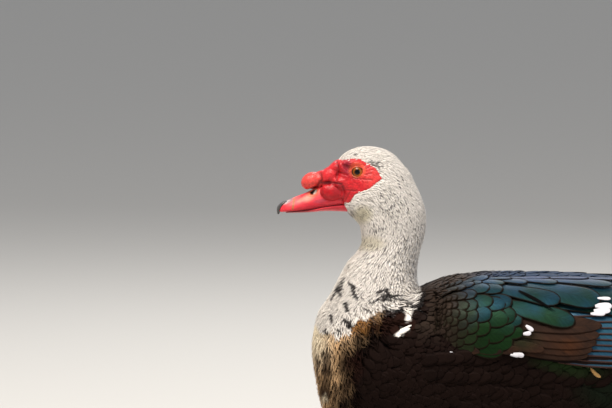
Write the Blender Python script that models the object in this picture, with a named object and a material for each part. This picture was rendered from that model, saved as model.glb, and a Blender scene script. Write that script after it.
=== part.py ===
"""A muscovy duck standing on both feet, life size, as separate closed solids.

Metres, +Z up. The bird faces +X and its left side is +Y. The origin is on the floor, under the
middle of the bird's length. All shapes of the flesh come from one skin surface: rings that fan
round the throat and the nape, from the face down the neck and back along the body to the tail.
"""

import math

import bmesh
import bpy
import numpy as np
from mathutils import Matrix, Vector

# Driving sizes, in metres
LENGTH = 0.620
BILL_TIP_X = LENGTH / 2
GAP = 0.0003
CUT_GAP = 0.0004
EYE_RADIUS = 0.0070
EYE_X = 0.2302
EYE_Z = 0.3761
EYE_SINK = 0.0044
LID_RADIUS = 0.0066
LID_THICKNESS = 0.0011
LEG_SPREAD = 0.047
HOCK_HEIGHT = 0.070
TARSUS_LENGTH = 0.068
VANE_THICKNESS = 0.0009
BODY_SIDES = 24
RING_SPACING = 0.019
HEAD_RING_SPACING = 0.0055
NECK_RING_SPACING = 0.010

# Rings of the skin: back x and z, breast x and z, half width, level of the widest place, fullness
SKIN_RINGS = (
    ("face", 0.2530, 0.3750, 0.2420, 0.3355, 0.0140, -0.10, 0.90),
    ("forehead", 0.2470, 0.3885, 0.2395, 0.3335, 0.0188, -0.12, 0.95),
    ("eye", 0.2330, 0.3978, 0.2350, 0.3290, 0.0222, -0.15, 0.98),
    ("crown", 0.2180, 0.4005, 0.2310, 0.3250, 0.0243, -0.15, 1.00),
    ("hind crown", 0.1980, 0.3950, 0.2275, 0.3205, 0.0255, -0.10, 1.00),
    ("occiput", 0.1825, 0.3800, 0.2263, 0.3150, 0.0265, -0.05, 1.00),
    ("nape", 0.1700, 0.3590, 0.2256, 0.3085, 0.0275, 0.00, 1.00),
    ("hind neck", 0.1615, 0.3360, 0.2260, 0.3020, 0.0285, 0.00, 1.00),
    ("mid neck", 0.1615, 0.3140, 0.2310, 0.2935, 0.0300, 0.00, 1.00),
    ("low neck", 0.1670, 0.2930, 0.2400, 0.2835, 0.0330, 0.00, 1.00),
    ("neck base", 0.1695, 0.2780, 0.2480, 0.2690, 0.0380, -0.05, 1.00),
    ("collar", 0.1695, 0.2680, 0.2575, 0.2510, 0.0460, -0.10, 1.00),
    ("crop", 0.1685, 0.2620, 0.2695, 0.2320, 0.0560, -0.10, 0.98),
    ("breast", 0.1660, 0.2590, 0.2742, 0.2010, 0.0655, -0.05, 0.97),
    ("shoulder", 0.1580, 0.2650, 0.2705, 0.1680, 0.0735, 0.00, 0.97),
    ("keel", 0.1420, 0.2725, 0.2620, 0.1320, 0.0790, 0.02, 0.96),
    ("mantle", 0.1120, 0.2765, 0.2220, 0.0990, 0.0840, 0.05, 0.96),
    ("back", 0.0670, 0.2780, 0.1500, 0.0830, 0.0875, 0.07, 0.95),
    ("loin", 0.0120, 0.2755, 0.0570, 0.0800, 0.0885, 0.08, 0.95),
    ("belly", -0.0430, 0.2690, -0.0230, 0.0860, 0.0840, 0.10, 0.96),
    ("vent", -0.0980, 0.2590, -0.0930, 0.1080, 0.0720, 0.10, 0.98),
    ("rump", -0.1480, 0.2480, -0.1480, 0.1480, 0.0530, 0.06, 1.00),
    ("tail root", -0.1850, 0.2390, -0.1850, 0.1930, 0.0340, 0.00, 1.00),
)
HEAD_ENDS_AT = "nape"
NECK_ENDS_AT = "collar"

# Outline of the bare face seen from the side, x and z, round from the forehead
FACE_OUTLINE = (
    (0.2565, 0.3810), (0.2507, 0.3855), (0.2424, 0.3872), (0.2341, 0.3892), (0.2275, 0.3886),
    (0.2216, 0.3853), (0.2134, 0.3811), (0.2084, 0.3753), (0.2051, 0.3687), (0.2109, 0.3645),
    (0.2175, 0.3587), (0.2258, 0.3554), (0.2324, 0.3530), (0.2353, 0.3480), (0.2374, 0.3446),
    (0.2430, 0.3428), (0.2600, 0.3425), (0.2700, 0.3500), (0.2700, 0.3720),
)

# Caruncles: x, y and z of the centre, half sizes along, across and up, tilt in degrees
MIDDLE_CARUNCLES = (
    ("knob", 0.2755, 0.0, 0.3654, 0.0106, 0.0098, 0.0080, 35),
    ("bill base", 0.2645, 0.0, 0.3655, 0.0120, 0.0085, 0.0080, 25),
)
SIDE_CARUNCLES = (
    ("forehead bulb", 0.2575, 0.0058, 0.3712, 0.0098, 0.0078, 0.0078, 28),
    ("crest bulb", 0.2495, 0.0040, 0.3800, 0.0062, 0.0058, 0.0046, 50),
    ("cheek bulb", 0.2548, 0.0098, 0.3547, 0.0108, 0.0068, 0.0082, -24),
    ("gape bulb", 0.2404, 0.0132, 0.3490, 0.0060, 0.0058, 0.0062, -40),
    ("brow ridge", 0.2318, 0.0165, 0.3845, 0.0110, 0.0042, 0.0030, -6),
)

# Upper bill: culmen x and z, mouth line x and z, half width
UPPER_BILL_RINGS = (
    (0.2490, 0.3720, 0.2400, 0.3420, 0.0118),
    (0.2620, 0.3635, 0.2540, 0.3402, 0.0126),
    (0.2750, 0.3565, 0.2690, 0.3380, 0.0122),
    (0.2830, 0.3527, 0.2800, 0.3362, 0.0119),
    (0.2930, 0.3487, 0.2910, 0.3352, 0.0120),
    (0.3005, 0.3452, 0.3000, 0.3345, 0.0106),
    (0.3050, 0.3422, 0.3055, 0.3342, 0.0072),
    (0.3068, 0.3398, 0.3075, 0.3348, 0.0034),
)
LOWER_BILL_RINGS = (
    (0.2370, 0.3410, 0.2360, 0.3335, 0.0100),
    (0.2470, 0.3405, 0.2460, 0.3338, 0.0112),
    (0.2620, 0.3384, 0.2620, 0.3344, 0.0110),
    (0.2790, 0.3355, 0.2790, 0.3330, 0.0104),
    (0.2930, 0.3344, 0.2930, 0.3326, 0.0098),
    (0.3010, 0.3337, 0.3010, 0.3326, 0.0066),
)
# Nail of the bill: x, z, half width, half thickness
NAIL_RINGS = (
    (0.3000, 0.3452, 0.0034, 0.0009),
    (0.3050, 0.3430, 0.0044, 0.0013),
    (0.3080, 0.3395, 0.0040, 0.0014),
    (0.3092, 0.3355, 0.0026, 0.0012),
    (0.3090, 0.3318, 0.0009, 0.0007),
)
NOSTRIL_X = 0.2735
NOSTRIL_Z = 0.3545
NOSTRIL_HALF = (0.0040, 0.0028, 0.0017)
NOSTRIL_TILT = 28

# Folded wing, from the wrist back: x, top y and z, low y and z, swell, thickness of the wing
WING_SECTIONS = (
    (0.1500, 0.0440, 0.2630, 0.0800, 0.2120, 0.0130, 0.018),
    (0.1150, 0.0430, 0.2715, 0.0900, 0.2050, 0.0145, 0.022),
    (0.0600, 0.0390, 0.2770, 0.0960, 0.2030, 0.0145, 0.024),
    (0.0000, 0.0340, 0.2765, 0.0960, 0.2010, 0.0145, 0.024),
    (-0.0600, 0.0280, 0.2715, 0.0880, 0.2030, 0.0130, 0.016),
    (-0.1150, 0.0220, 0.2640, 0.0690, 0.2130, 0.0095, 0.007),
    (-0.1700, 0.0160, 0.2550, 0.0450, 0.2280, 0.0060, 0.004),
    (-0.2250, 0.0090, 0.2450, 0.0250, 0.2330, 0.0030, 0.003),
)
WING_CORE_END = 0.262
WING_CORE_SINK = 0.0042

# Tiers of the folded wing, lowest first. Each row of vanes runs from the belly side to the back:
# count, root x and level of the first and the last, tip x and level of both, half width, lift
WING_TIERS = (
    ("primaries", 5, (-0.070, 0.80), (-0.050, 0.47), (-0.222, 0.80), (-0.170, 0.46), 0.0110, -0.0038),
    ("secondaries", 6, (0.010, 0.91), (-0.010, 0.40), (-0.085, 0.94), (-0.145, 0.44), 0.0150, -0.0030),
    ("greater coverts", 5, (0.050, 0.91), (0.035, 0.42), (-0.004, 0.93), (-0.020, 0.44), 0.0155, -0.0014),
    ("tertials", 3, (0.035, 0.44), (0.020, 0.13), (-0.105, 0.42), (-0.160, 0.24), 0.0200, -0.0002),
    ("median coverts", 4, (0.094, 0.88), (0.080, 0.40), (0.038, 0.91), (0.018, 0.40), 0.0185, 0.0000),
    ("scapulars", 3, (0.100, 0.46), (0.085, 0.13), (-0.010, 0.40), (0.005, 0.13), 0.0200, 0.0014),
)
VANE_STATIONS = (0.0, 0.40, 0.86, 1.0)
VANE_WIDTHS = (0.60, 1.0, 0.88, 0.38)
VANE_SHINGLE = 0.10
VANE_ROOT_DEPTH = 0.0060

# Tail: a closed fan, its coverts above and below, and the stub that they grow from
TAIL_VANES = 12
TAIL_ROOT = (-0.196, 0.2150)
TAIL_TIP = (-BILL_TIP_X, 0.2075)
TAIL_HALF_WIDTH = 0.0160
TAIL_FAN_DEGREES = 3.4
TAIL_ROOF = 0.00028
TAIL_STACK = 0.00045
TAIL_COVERTS = (
    ("upper coverts", 4, (-0.196, 0.2265), (-0.254, 0.2205), 0.0150, 0.0016, 8.5),
    ("under coverts", 4, (-0.194, 0.2050), (-0.268, 0.1975), 0.0155, -0.0014, 8.0),
)
TAIL_VANE_STATIONS = (0.0, 0.45, 0.85, 0.96, 1.0)
TAIL_VANE_WIDTHS = (0.55, 0.90, 1.0, 0.75, 0.35)
TAIL_SHINGLE = 0.08
TAIL_CORE = (
    (-0.1850, 0.2160, 0.0340, 0.0230),
    (-0.2030, 0.2155, 0.0335, 0.0175),
    (-0.2200, 0.2140, 0.0315, 0.0105),
    (-0.2330, 0.2130, 0.0270, 0.0045),
)

# Hip from the hock: forwards, outwards, up. Path shares and radii of the shank and the thigh
HIP_FROM_HOCK = (0.044, -0.010, 0.066)
HOCK_BACK = 0.006
SHANK_SHARES = (0.0, 0.08, 0.22, 0.5, 0.8, 0.93)
SHANK_RADII = (0.0078, 0.0088, 0.0068, 0.0062, 0.0066, 0.0074)
THIGH_SHARES = (0.0, 0.08, 0.20, 0.35, 0.50, 0.70, 0.90)
THIGH_RADII = (0.0096, 0.0135, 0.0190, 0.0260, 0.0320, 0.0370, 0.0360)
ANKLE_HEIGHT = 0.0085
KNUCKLE_HALF = (0.0105, 0.0100, 0.0082)
KNUCKLE_HEIGHT = 0.0078

# Toes: name, length, heading in degrees outwards, radius
TOES = (
    ("inner", 0.052, -28.0, 0.0046),
    ("middle", 0.070, -3.0, 0.0051),
    ("outer", 0.063, 22.0, 0.0047),
)
TOE_SHARES = (0.0, 0.20, 0.38, 0.55, 0.72, 0.88, 1.0)
TOE_SWELLS = (1.25, 0.96, 1.12, 0.88, 1.02, 0.84, 0.62)
TOE_FLATTENING = 0.86
HALLUX_ROOT = 0.010
HALLUX_END_HEIGHT = 0.0062
CLAW_SHARES = (0.0, 0.12, 0.35, 0.60, 0.82, 1.0)
CLAW_SWELLS = (1.0, 1.0, 0.92, 0.70, 0.44)
CLAW_POINT_RADIUS = 0.00035
CLAW_POINT_HEIGHT = 0.0009
CLAW_ARCH = 0.0010
HALLUX = ("hind", 0.015, 188.0, 0.0034)
HALLUX_RISE = 0.0100
CLAW_LENGTH = 0.0125
CLAW_ROOT_SHARE = 0.92
WEB_THICKNESS = 0.0013
WEB_BASE_HEIGHT = 0.0015
WEB_REACH = 0.93
WEB_NOTCH = 0.80
FOOT_X = {"left": 0.040, "right": 0.016}

# Colour, roughness of each finish
FINISHES = {
    "white_feather": ((0.83, 0.80, 0.74), 0.80),
    "dark_feather": ((0.030, 0.022, 0.018), 0.75),
    "wing_feather": ((0.020, 0.085, 0.080), 0.45),
    "tail_feather": ((0.018, 0.050, 0.048), 0.50),
    "face_skin": ((0.72, 0.045, 0.045), 0.45),
    "bill_horn": ((0.78, 0.23, 0.20), 0.35),
    "nail_horn": ((0.060, 0.060, 0.058), 0.35),
    "eye_ball": ((0.16, 0.075, 0.020), 0.10),
    "foot_skin": ((0.12, 0.10, 0.065), 0.60),
    "claw_horn": ((0.035, 0.030, 0.026), 0.40),
}


def smooth(knots, values, at):
    """The value at a place on a cubic curve through the knots."""
    knots = np.asarray(knots, float)
    values = np.asarray(values, float)
    slopes = np.gradient(values, knots, axis=0)
    cell = int(np.clip(np.searchsorted(knots, at) - 1, 0, len(knots) - 2))
    width = knots[cell + 1] - knots[cell]
    s = (at - knots[cell]) / width
    return (
        (2 * s**3 - 3 * s**2 + 1) * values[cell]
        + (s**3 - 2 * s**2 + s) * width * slopes[cell]
        + (3 * s**2 - 2 * s**3) * values[cell + 1]
        + (s**3 - s**2) * width * slopes[cell + 1]
    )


def running_length(points):
    """Distance along a chain of points, starting at 0."""
    steps = np.linalg.norm(np.diff(np.asarray(points, float), axis=0), axis=1)
    return np.concatenate([[0.0], np.cumsum(steps)])


SKIN_VALUES = np.array([ring[1:] for ring in SKIN_RINGS])
SKIN_KNOTS = running_length((SKIN_VALUES[:, 0:2] + SKIN_VALUES[:, 2:4]) / 2)
SKIN_AT = {ring[0]: knot for ring, knot in zip(SKIN_RINGS, SKIN_KNOTS)}
WING_VALUES = np.array(WING_SECTIONS)
WING_KNOTS = WING_VALUES[0, 0] - WING_VALUES[:, 0]


def powered(value, power):
    """A sine or cosine raised to a power, keeping its sign."""
    return math.copysign(abs(value) ** power, value)


def skin_ring(distance, grow=0.0, sides=BODY_SIDES):
    """One closed ring of the skin surface, at a distance along the body's middle line."""
    back_x, back_z, low_x, low_z, half_width, level, fullness = smooth(
        SKIN_KNOTS, SKIN_VALUES, distance
    )
    back = Vector((back_x, 0, back_z))
    low = Vector((low_x, 0, low_z))
    middle = (back + low) / 2
    rise = (back - low) / 2
    rise += rise.normalized() * grow
    points = []
    for k in range(sides):
        turn = 2 * math.pi * k / sides
        up = powered(math.cos(turn), fullness)
        out = powered(math.sin(turn), fullness)
        up += level * (1 - up * up)
        points.append(middle + rise * up + Vector((0, (half_width + grow) * out, 0)))
    return points


def material_for(name):
    """The material of a finish, made once."""
    material = bpy.data.materials.get(name)
    if material:
        return material
    colour, roughness = FINISHES[name]
    material = bpy.data.materials.new(name)
    material.use_nodes = True
    shader = material.node_tree.nodes["Principled BSDF"]
    shader.inputs["Base Color"].default_value = (*colour, 1)
    shader.inputs["Roughness"].default_value = roughness
    material.diffuse_color = (*colour, 1)
    return material


def object_from(bm, name):
    """A mesh object from a bmesh, with its faces turned outwards."""
    bmesh.ops.recalc_face_normals(bm, faces=bm.faces)
    mesh = bpy.data.meshes.new(name)
    bm.to_mesh(mesh)
    bm.free()
    obj = bpy.data.objects.new(name, mesh)
    bpy.context.scene.collection.objects.link(obj)
    return obj


def loft(name, rings):
    """A closed solid through rings of points that all have the same count."""
    bm = bmesh.new()
    made = [[bm.verts.new(p) for p in ring] for ring in rings]
    count = len(made[0])
    for near, far in zip(made, made[1:]):
        for k in range(count):
            n = (k + 1) % count
            bm.faces.new((near[k], near[n], far[n], far[k]))
    bm.faces.new(list(reversed(made[0])))
    bm.faces.new(made[-1])
    return object_from(bm, name)


def ellipse_ring(centre, across, up, sides=14):
    """A ring round a centre, from its two half axes."""
    turns = [2 * math.pi * k / sides for k in range(sides)]
    return [centre + up * math.cos(t) + across * math.sin(t) for t in turns]


def ball(name, centre, halves, tilt_degrees=0.0, segments=16, rings=10):
    """An ellipsoid with its long axis tilted up towards the tail."""
    bm = bmesh.new()
    bmesh.ops.create_uvsphere(bm, u_segments=segments, v_segments=rings, radius=1.0)
    stretch = Matrix.Diagonal((*halves, 1))
    tilt = Matrix.Rotation(math.radians(tilt_degrees), 4, "Y")
    bmesh.ops.transform(bm, matrix=Matrix.Translation(centre) @ tilt @ stretch, verts=bm.verts)
    return object_from(bm, name)


def limb(name, path, radii, sides_level=1):
    """A tube of changing radius along a path, as a closed mesh."""
    curve = bpy.data.curves.new(name, "CURVE")
    curve.dimensions = "3D"
    curve.bevel_depth = 1.0
    curve.bevel_resolution = sides_level
    curve.use_fill_caps = True
    spline = curve.splines.new("POLY")
    spline.points.add(len(path) - 1)
    for point, place, radius in zip(spline.points, path, radii):
        point.co = (*place, 1)
        point.radius = radius
    guide = bpy.data.objects.new(name + "_guide", curve)
    bpy.context.scene.collection.objects.link(guide)
    bpy.context.view_layer.update()
    graph = bpy.context.evaluated_depsgraph_get()
    mesh = bpy.data.meshes.new_from_object(guide.evaluated_get(graph))
    bpy.data.objects.remove(guide)
    bm = bmesh.new()
    bm.from_mesh(mesh)
    bmesh.ops.remove_doubles(bm, verts=bm.verts, dist=1e-5)
    bpy.data.meshes.remove(mesh)
    return object_from(bm, name)


def keep_largest(obj):
    """Leaves only the largest closed surface of a mesh, which fills sealed hollows."""
    bm = bmesh.new()
    bm.from_mesh(obj.data)
    left = set(bm.faces)
    shells = []
    while left:
        stack = [left.pop()]
        shell = list(stack)
        while stack:
            for edge in stack.pop().edges:
                for face in edge.link_faces:
                    if face in left:
                        left.discard(face)
                        shell.append(face)
                        stack.append(face)
        shells.append(shell)
    shells.sort(key=lambda shell: sum(face.calc_area() for face in shell))
    for shell in shells[:-1]:
        bmesh.ops.delete(bm, geom=shell, context="FACES")
    bm.to_mesh(obj.data)
    bm.free()


def apply_modifiers(obj):
    """Replaces an object's mesh by its evaluated one."""
    bpy.context.view_layer.update()
    graph = bpy.context.evaluated_depsgraph_get()
    mesh = bpy.data.meshes.new_from_object(obj.evaluated_get(graph))
    obj.modifiers.clear()
    obj.data = mesh


def combine(obj, others, operation):
    """Joins closed meshes to obj, or cuts them from it, and removes them."""
    group = bpy.data.collections.new(operation)
    for other in others:
        group.objects.link(other)
    boolean = obj.modifiers.new(operation, "BOOLEAN")
    boolean.operation = operation
    boolean.operand_type = "COLLECTION"
    boolean.collection = group
    boolean.solver = "MANIFOLD"
    apply_modifiers(obj)
    for other in others:
        bpy.data.objects.remove(other)
    bpy.data.collections.remove(group)
    keep_largest(obj)
    return obj


def finish(obj, name, finish_name, smooth_degrees=40):
    """Names a node and gives it its material and shading."""
    obj.name = name
    obj.data.name = name
    obj.data.materials.clear()
    obj.data.materials.append(material_for(finish_name))
    obj.data.shade_smooth()
    obj.data.set_sharp_from_angle(angle=math.radians(smooth_degrees))
    return obj


def skin_length(name, start, end, grow=0.0, spacing=RING_SPACING):
    """A closed length of the skin between two named rings, set back by half a gap at each cut."""
    first, last = SKIN_AT[start], SKIN_AT[end]
    steps = max(3, round((last - first) / spacing))
    rings = [skin_ring(first + (last - first) * k / steps, grow) for k in range(steps + 1)]
    rise = rings[0][0] - rings[0][BODY_SIDES // 2]
    inwards = rise.cross(Vector((0, 1, 0))).normalized() * (GAP / 2 - grow)
    rings[0] = [p + inwards for p in rings[0]]
    rise = rings[-1][BODY_SIDES // 2] - rings[-1][0]
    inwards = rise.cross(Vector((0, 1, 0))).normalized() * (GAP / 2 - grow)
    rings[-1] = [p + inwards for p in rings[-1]]
    return loft(name, rings)


def face_prism(grow):
    """The face outline run through the head from side to side."""
    outline = np.array(FACE_OUTLINE)
    centre = outline.mean(axis=0)
    spans = np.linalg.norm(outline - centre, axis=1, keepdims=True)
    outline = centre + (outline - centre) * (1 + grow / spans)
    half = 0.06
    rings = [[Vector((x, y, z)) for x, z in outline] for y in (-half, half)]
    return loft("face_prism", rings)


def side_place(obj, x, z):
    """Where a line along Y at x and z meets the left side of an object, and the surface's normal."""
    found, place, normal, _ = obj.ray_cast(Vector((x, 1.0, z)), Vector((0, -1, 0)))
    if not found:
        raise ValueError(f"nothing of {obj.name} at {x}, {z}")
    return place, normal


def caruncles(grow):
    """The knob and the paired bulbs and ridges of the bare face."""
    made = []
    for name, x, y, z, along, across, up, tilt in MIDDLE_CARUNCLES:
        halves = (along + grow, across + grow, up + grow)
        made.append(ball(name, (x, y, z), halves, tilt, 12, 8))
    for name, x, y, z, along, across, up, tilt in SIDE_CARUNCLES:
        halves = (along + grow, across + grow, up + grow)
        for side in (1, -1):
            made.append(ball(name, (x, y * side, z), halves, tilt, 10, 7))
    return made


def face_solid(name, grow=0.0):
    """The bare face: the front of the head inside the face outline, with its caruncles."""
    face = skin_length(name, "face", HEAD_ENDS_AT, grow, HEAD_RING_SPACING)
    combine(face, [face_prism(grow)], "INTERSECT")
    return combine(face, caruncles(grow), "UNION")


def lids(eye_places):
    """A raised ring of lid round each eye."""
    made = []
    for centre, normal in eye_places:
        bpy.ops.mesh.primitive_torus_add(
            major_radius=LID_RADIUS,
            minor_radius=LID_THICKNESS,
            major_segments=16,
            minor_segments=5,
        )
        lid = bpy.context.object
        lid.data.transform(Vector((0, 0, 1)).rotation_difference(normal).to_matrix().to_4x4())
        lid.data.transform(Matrix.Translation(centre))
        made.append(lid)
    return made


def eye_balls(eye_places, grow=0.0):
    """Both eyes, each sunk into the face."""
    radius = EYE_RADIUS + grow
    halves = (radius, radius, radius)
    return [ball("eye", c - n * EYE_SINK, halves, 0, 16, 10) for c, n in eye_places]


def make_head():
    """Head, bare face, eyes, both halves of the bill and its nail."""
    head = skin_length("head", "face", HEAD_ENDS_AT, 0.0, HEAD_RING_SPACING)
    centre, normal = side_place(head, EYE_X, EYE_Z)
    flip = Vector((1, -1, 1))
    eye_places = [(centre, normal), (centre * flip, normal * flip)]
    combine(head, [face_prism(CUT_GAP)] + caruncles(CUT_GAP), "DIFFERENCE")

    face = face_solid("face")
    combine(face, lids(eye_places), "UNION")
    combine(face, eye_balls(eye_places, GAP), "DIFFERENCE")

    upper = bill_half("bill_upper", UPPER_BILL_RINGS, -0.5)
    nostrils = []
    for side in (1, -1):
        place, _ = side_place(upper, NOSTRIL_X, NOSTRIL_Z)
        place.y *= side
        nostrils.append(ball("nostril", place, NOSTRIL_HALF, NOSTRIL_TILT, 10, 6))
    combine(upper, nostrils, "DIFFERENCE")
    lower = bill_half("bill_lower", LOWER_BILL_RINGS, 0.5)
    for half in (upper, lower):
        cutters = [face_solid("face_cutter", CUT_GAP)]
        cutters.append(skin_length("head_cutter", "face", HEAD_ENDS_AT, CUT_GAP, HEAD_RING_SPACING))
        combine(half, cutters, "DIFFERENCE")
    nail = nail_solid()
    combine(nail, [bill_half("bill_cutter", UPPER_BILL_RINGS, -0.5, CUT_GAP)], "DIFFERENCE")

    finish(head, "head", "white_feather")
    finish(face, "face", "face_skin", 60)
    finish(upper, "bill_upper", "bill_horn")
    finish(lower, "bill_lower", "bill_horn")
    finish(nail, "bill_nail", "nail_horn")
    for eye, side in zip(eye_balls(eye_places), ("left", "right")):
        finish(eye, "eye_" + side, "eye_ball", 80)


def bill_half(name, sizes, level, grow=0.0):
    """One half of the bill: rings flat towards the mouth line and round on the other side."""
    rows = np.array(sizes)
    knots = running_length((rows[:, 0:2] + rows[:, 2:4]) / 2)
    rings = []
    steps = 9
    for k in range(steps + 1):
        top_x, top_z, low_x, low_z, half_width = smooth(knots, rows, knots[-1] * k / steps)
        top = Vector((top_x, 0, top_z))
        low = Vector((low_x, 0, low_z))
        rise = (top - low) / 2
        rise += rise.normalized() * grow
        ring = []
        for turn in np.linspace(0, 2 * math.pi, 16, endpoint=False):
            up = math.cos(turn) + level * math.sin(turn) ** 2
            across = Vector((0, (half_width + grow) * math.sin(turn), 0))
            ring.append((top + low) / 2 + rise * up + across)
        rings.append(ring)
    return loft(name, rings)


def nail_solid():
    """The hard hooked nail over the tip of the upper bill."""
    rows = np.array(NAIL_RINGS)
    knots = running_length(rows[:, 0:2])
    rings = []
    for distance in np.linspace(0, knots[-1], 8):
        x, z, half_width, half_thick = smooth(knots, rows, distance)
        ahead = smooth(knots, rows, min(distance + 1e-4, knots[-1]))
        behind = smooth(knots, rows, max(distance - 1e-4, 0))
        along = Vector((ahead[0] - behind[0], 0, ahead[1] - behind[1])).normalized()
        out = Vector((0, 1, 0)).cross(along) * half_thick
        rings.append(ellipse_ring(Vector((x, 0, z)), Vector((0, half_width, 0)), out, 12))
    return loft("bill_nail", rings)


def make_neck():
    """The neck from the nape to the collar."""
    neck = skin_length("neck", HEAD_ENDS_AT, NECK_ENDS_AT, 0.0, NECK_RING_SPACING)
    finish(neck, "neck", "white_feather")


def make_torso():
    """The body from the collar to the root of the tail."""
    finish(skin_length("torso", NECK_ENDS_AT, "tail root"), "torso", "dark_feather")


def wing_point(back, level, side):
    """A point of the folded wing's outer surface: back from the wrist, level 0 at the top edge."""
    x, top_y, top_z, low_y, low_z, swell, _ = smooth(WING_KNOTS, WING_VALUES, back)
    top = Vector((x, top_y, top_z))
    low = Vector((x, low_y, low_z))
    fall = low - top
    out = Vector((0, -fall.z, fall.y)).normalized()
    place = top + fall * level + out * (4 * level * (1 - level) * swell)
    return Vector((place.x, place.y * side, place.z))


def wing_frame(back, level, side):
    """The outer surface's place, its directions backwards and downwards, and its normal."""
    step = 1e-3
    place = wing_point(back, level, side)
    backwards = (wing_point(back + step, level, side) - place) / step
    downwards = (wing_point(back, level + step, side) - place) / step
    normal = backwards.cross(downwards).normalized()
    if normal.y * side < 0:
        normal = -normal
    return place, backwards, downwards, normal


def vane_solid(name, top_edges, thickness):
    """A thin vane from rows of (place, normal), split into triangles alike on both faces."""
    bm = bmesh.new()
    count = len(top_edges)
    across = len(top_edges[0])
    top = [[bm.verts.new(p + n * thickness / 2) for p, n in row] for row in top_edges]
    low = [[bm.verts.new(p - n * thickness / 2) for p, n in row] for row in top_edges]
    for layer in (top, low):
        for i in range(count - 1):
            for j in range(across - 1):
                a, b = layer[i][j], layer[i][j + 1]
                c, d = layer[i + 1][j + 1], layer[i + 1][j]
                bm.faces.new((a, b, c))
                bm.faces.new((a, c, d))
    rim = [(i, 0) for i in range(count)]
    rim += [(count - 1, j) for j in range(1, across)]
    rim += [(i, across - 1) for i in range(count - 2, -1, -1)]
    rim += [(0, j) for j in range(across - 2, 0, -1)]
    for (i, j), (m, n) in zip(rim, rim[1:] + rim[:1]):
        bm.faces.new((top[i][j], top[m][n], low[m][n]))
        bm.faces.new((top[i][j], low[m][n], low[i][j]))
    return object_from(bm, name)


def wing_vane(name, root, tip, half_width, lift, side):
    """One feather laid on the wing's surface, its lower edge outermost, its root sunk in."""
    start = np.array([WING_VALUES[0, 0] - root[0], root[1]])
    end = np.array([WING_VALUES[0, 0] - tip[0], tip[1]])
    rows = []
    for share, width in zip(VANE_STATIONS, VANE_WIDTHS):
        back, level = start + (end - start) * share
        place, backwards, downwards, normal = wing_frame(back, level, side)
        along = backwards * (end[0] - start[0]) + downwards * (end[1] - start[1])
        along.normalize()
        edge = normal.cross(along)
        if edge.z > 0:
            edge = -edge
        rise = lift if share > 0 else -VANE_ROOT_DEPTH
        row = []
        for q in (-1.0, 1.0):
            offset = q * half_width * width
            spot = edge * offset
            back_step = spot.dot(backwards) / backwards.length_squared
            level_step = spot.dot(downwards) / downwards.length_squared
            laid, _, _, out = wing_frame(back + back_step, level + level_step, side)
            row.append((laid + out * (rise + VANE_SHINGLE * offset), out))
        rows.append(row)
    return vane_solid(name, rows, VANE_THICKNESS)


def tier_vanes(tier, side):
    """A row of overlapping feathers of the folded wing."""
    name, count, root_low, root_high, tip_low, tip_high, half_width, lift = tier
    made = []
    for k in range(count):
        share = k / (count - 1)
        root = np.array(root_low) * (1 - share) + np.array(root_high) * share
        tip = np.array(tip_low) * (1 - share) + np.array(tip_high) * share
        made.append(wing_vane(f"{name} {k}", root, tip, half_width, lift, side))
    return made


def wing_core(side):
    """The folded arm and the bases of its feathers, thick inwards from the outer surface."""
    rings = []
    steps = 8
    levels = np.linspace(0.0, 1.0, 5)
    for k in range(steps + 1):
        back = WING_CORE_END * k / steps
        thickness = smooth(WING_KNOTS, WING_VALUES, back)[6]
        sink = WING_CORE_SINK * (1 - 0.5 * k / steps)
        outer = []
        inner = []
        for level in levels:
            place, _, _, normal = wing_frame(back, level, side)
            outer.append(place - normal * sink)
            inner.append(place - normal * max(thickness, sink + 0.0015))
        rings.append(outer + inner[::-1])
    return loft("wing core", rings)


def make_wing(side_name, side):
    """One folded wing: core and tiers of vanes in one body, cut clear of the torso."""
    wing = wing_core(side)
    vanes = [vane for tier in WING_TIERS for vane in tier_vanes(tier, side)]
    combine(wing, vanes, "UNION")
    combine(wing, [skin_length("torso_cutter", NECK_ENDS_AT, "tail root", CUT_GAP)], "DIFFERENCE")
    finish(wing, "wing_" + side_name, "wing_feather", 30)


def tail_vane(name, index, root, tip, half_width, stack, fan_degrees):
    """One tail feather, fanned from the root, its outer edge under the next one in."""
    turn = math.radians(fan_degrees * index)
    length = root[0] - tip[0]
    fall = (tip[1] - root[1]) / length
    side = 1 if index >= 0 else -1
    along = Vector((-math.cos(turn), math.sin(turn), 0))
    across = Vector((math.sin(turn), math.cos(turn), 0))
    start = Vector((root[0], 0.0030 * index, root[1] - stack * abs(index)))
    rows = []
    for share, width in zip(TAIL_VANE_STATIONS, TAIL_VANE_WIDTHS):
        middle = start + along * length * share
        row = []
        for q in (-1.0, 1.0):
            place = middle + across * (q * half_width * width)
            place.z += fall * length * share - TAIL_ROOF * index * index * share
            place.z -= TAIL_SHINGLE * side * q * half_width * width
            row.append((place, Vector((0, 0, 1))))
        rows.append(row)
    return vane_solid(name, rows, VANE_THICKNESS)


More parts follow.
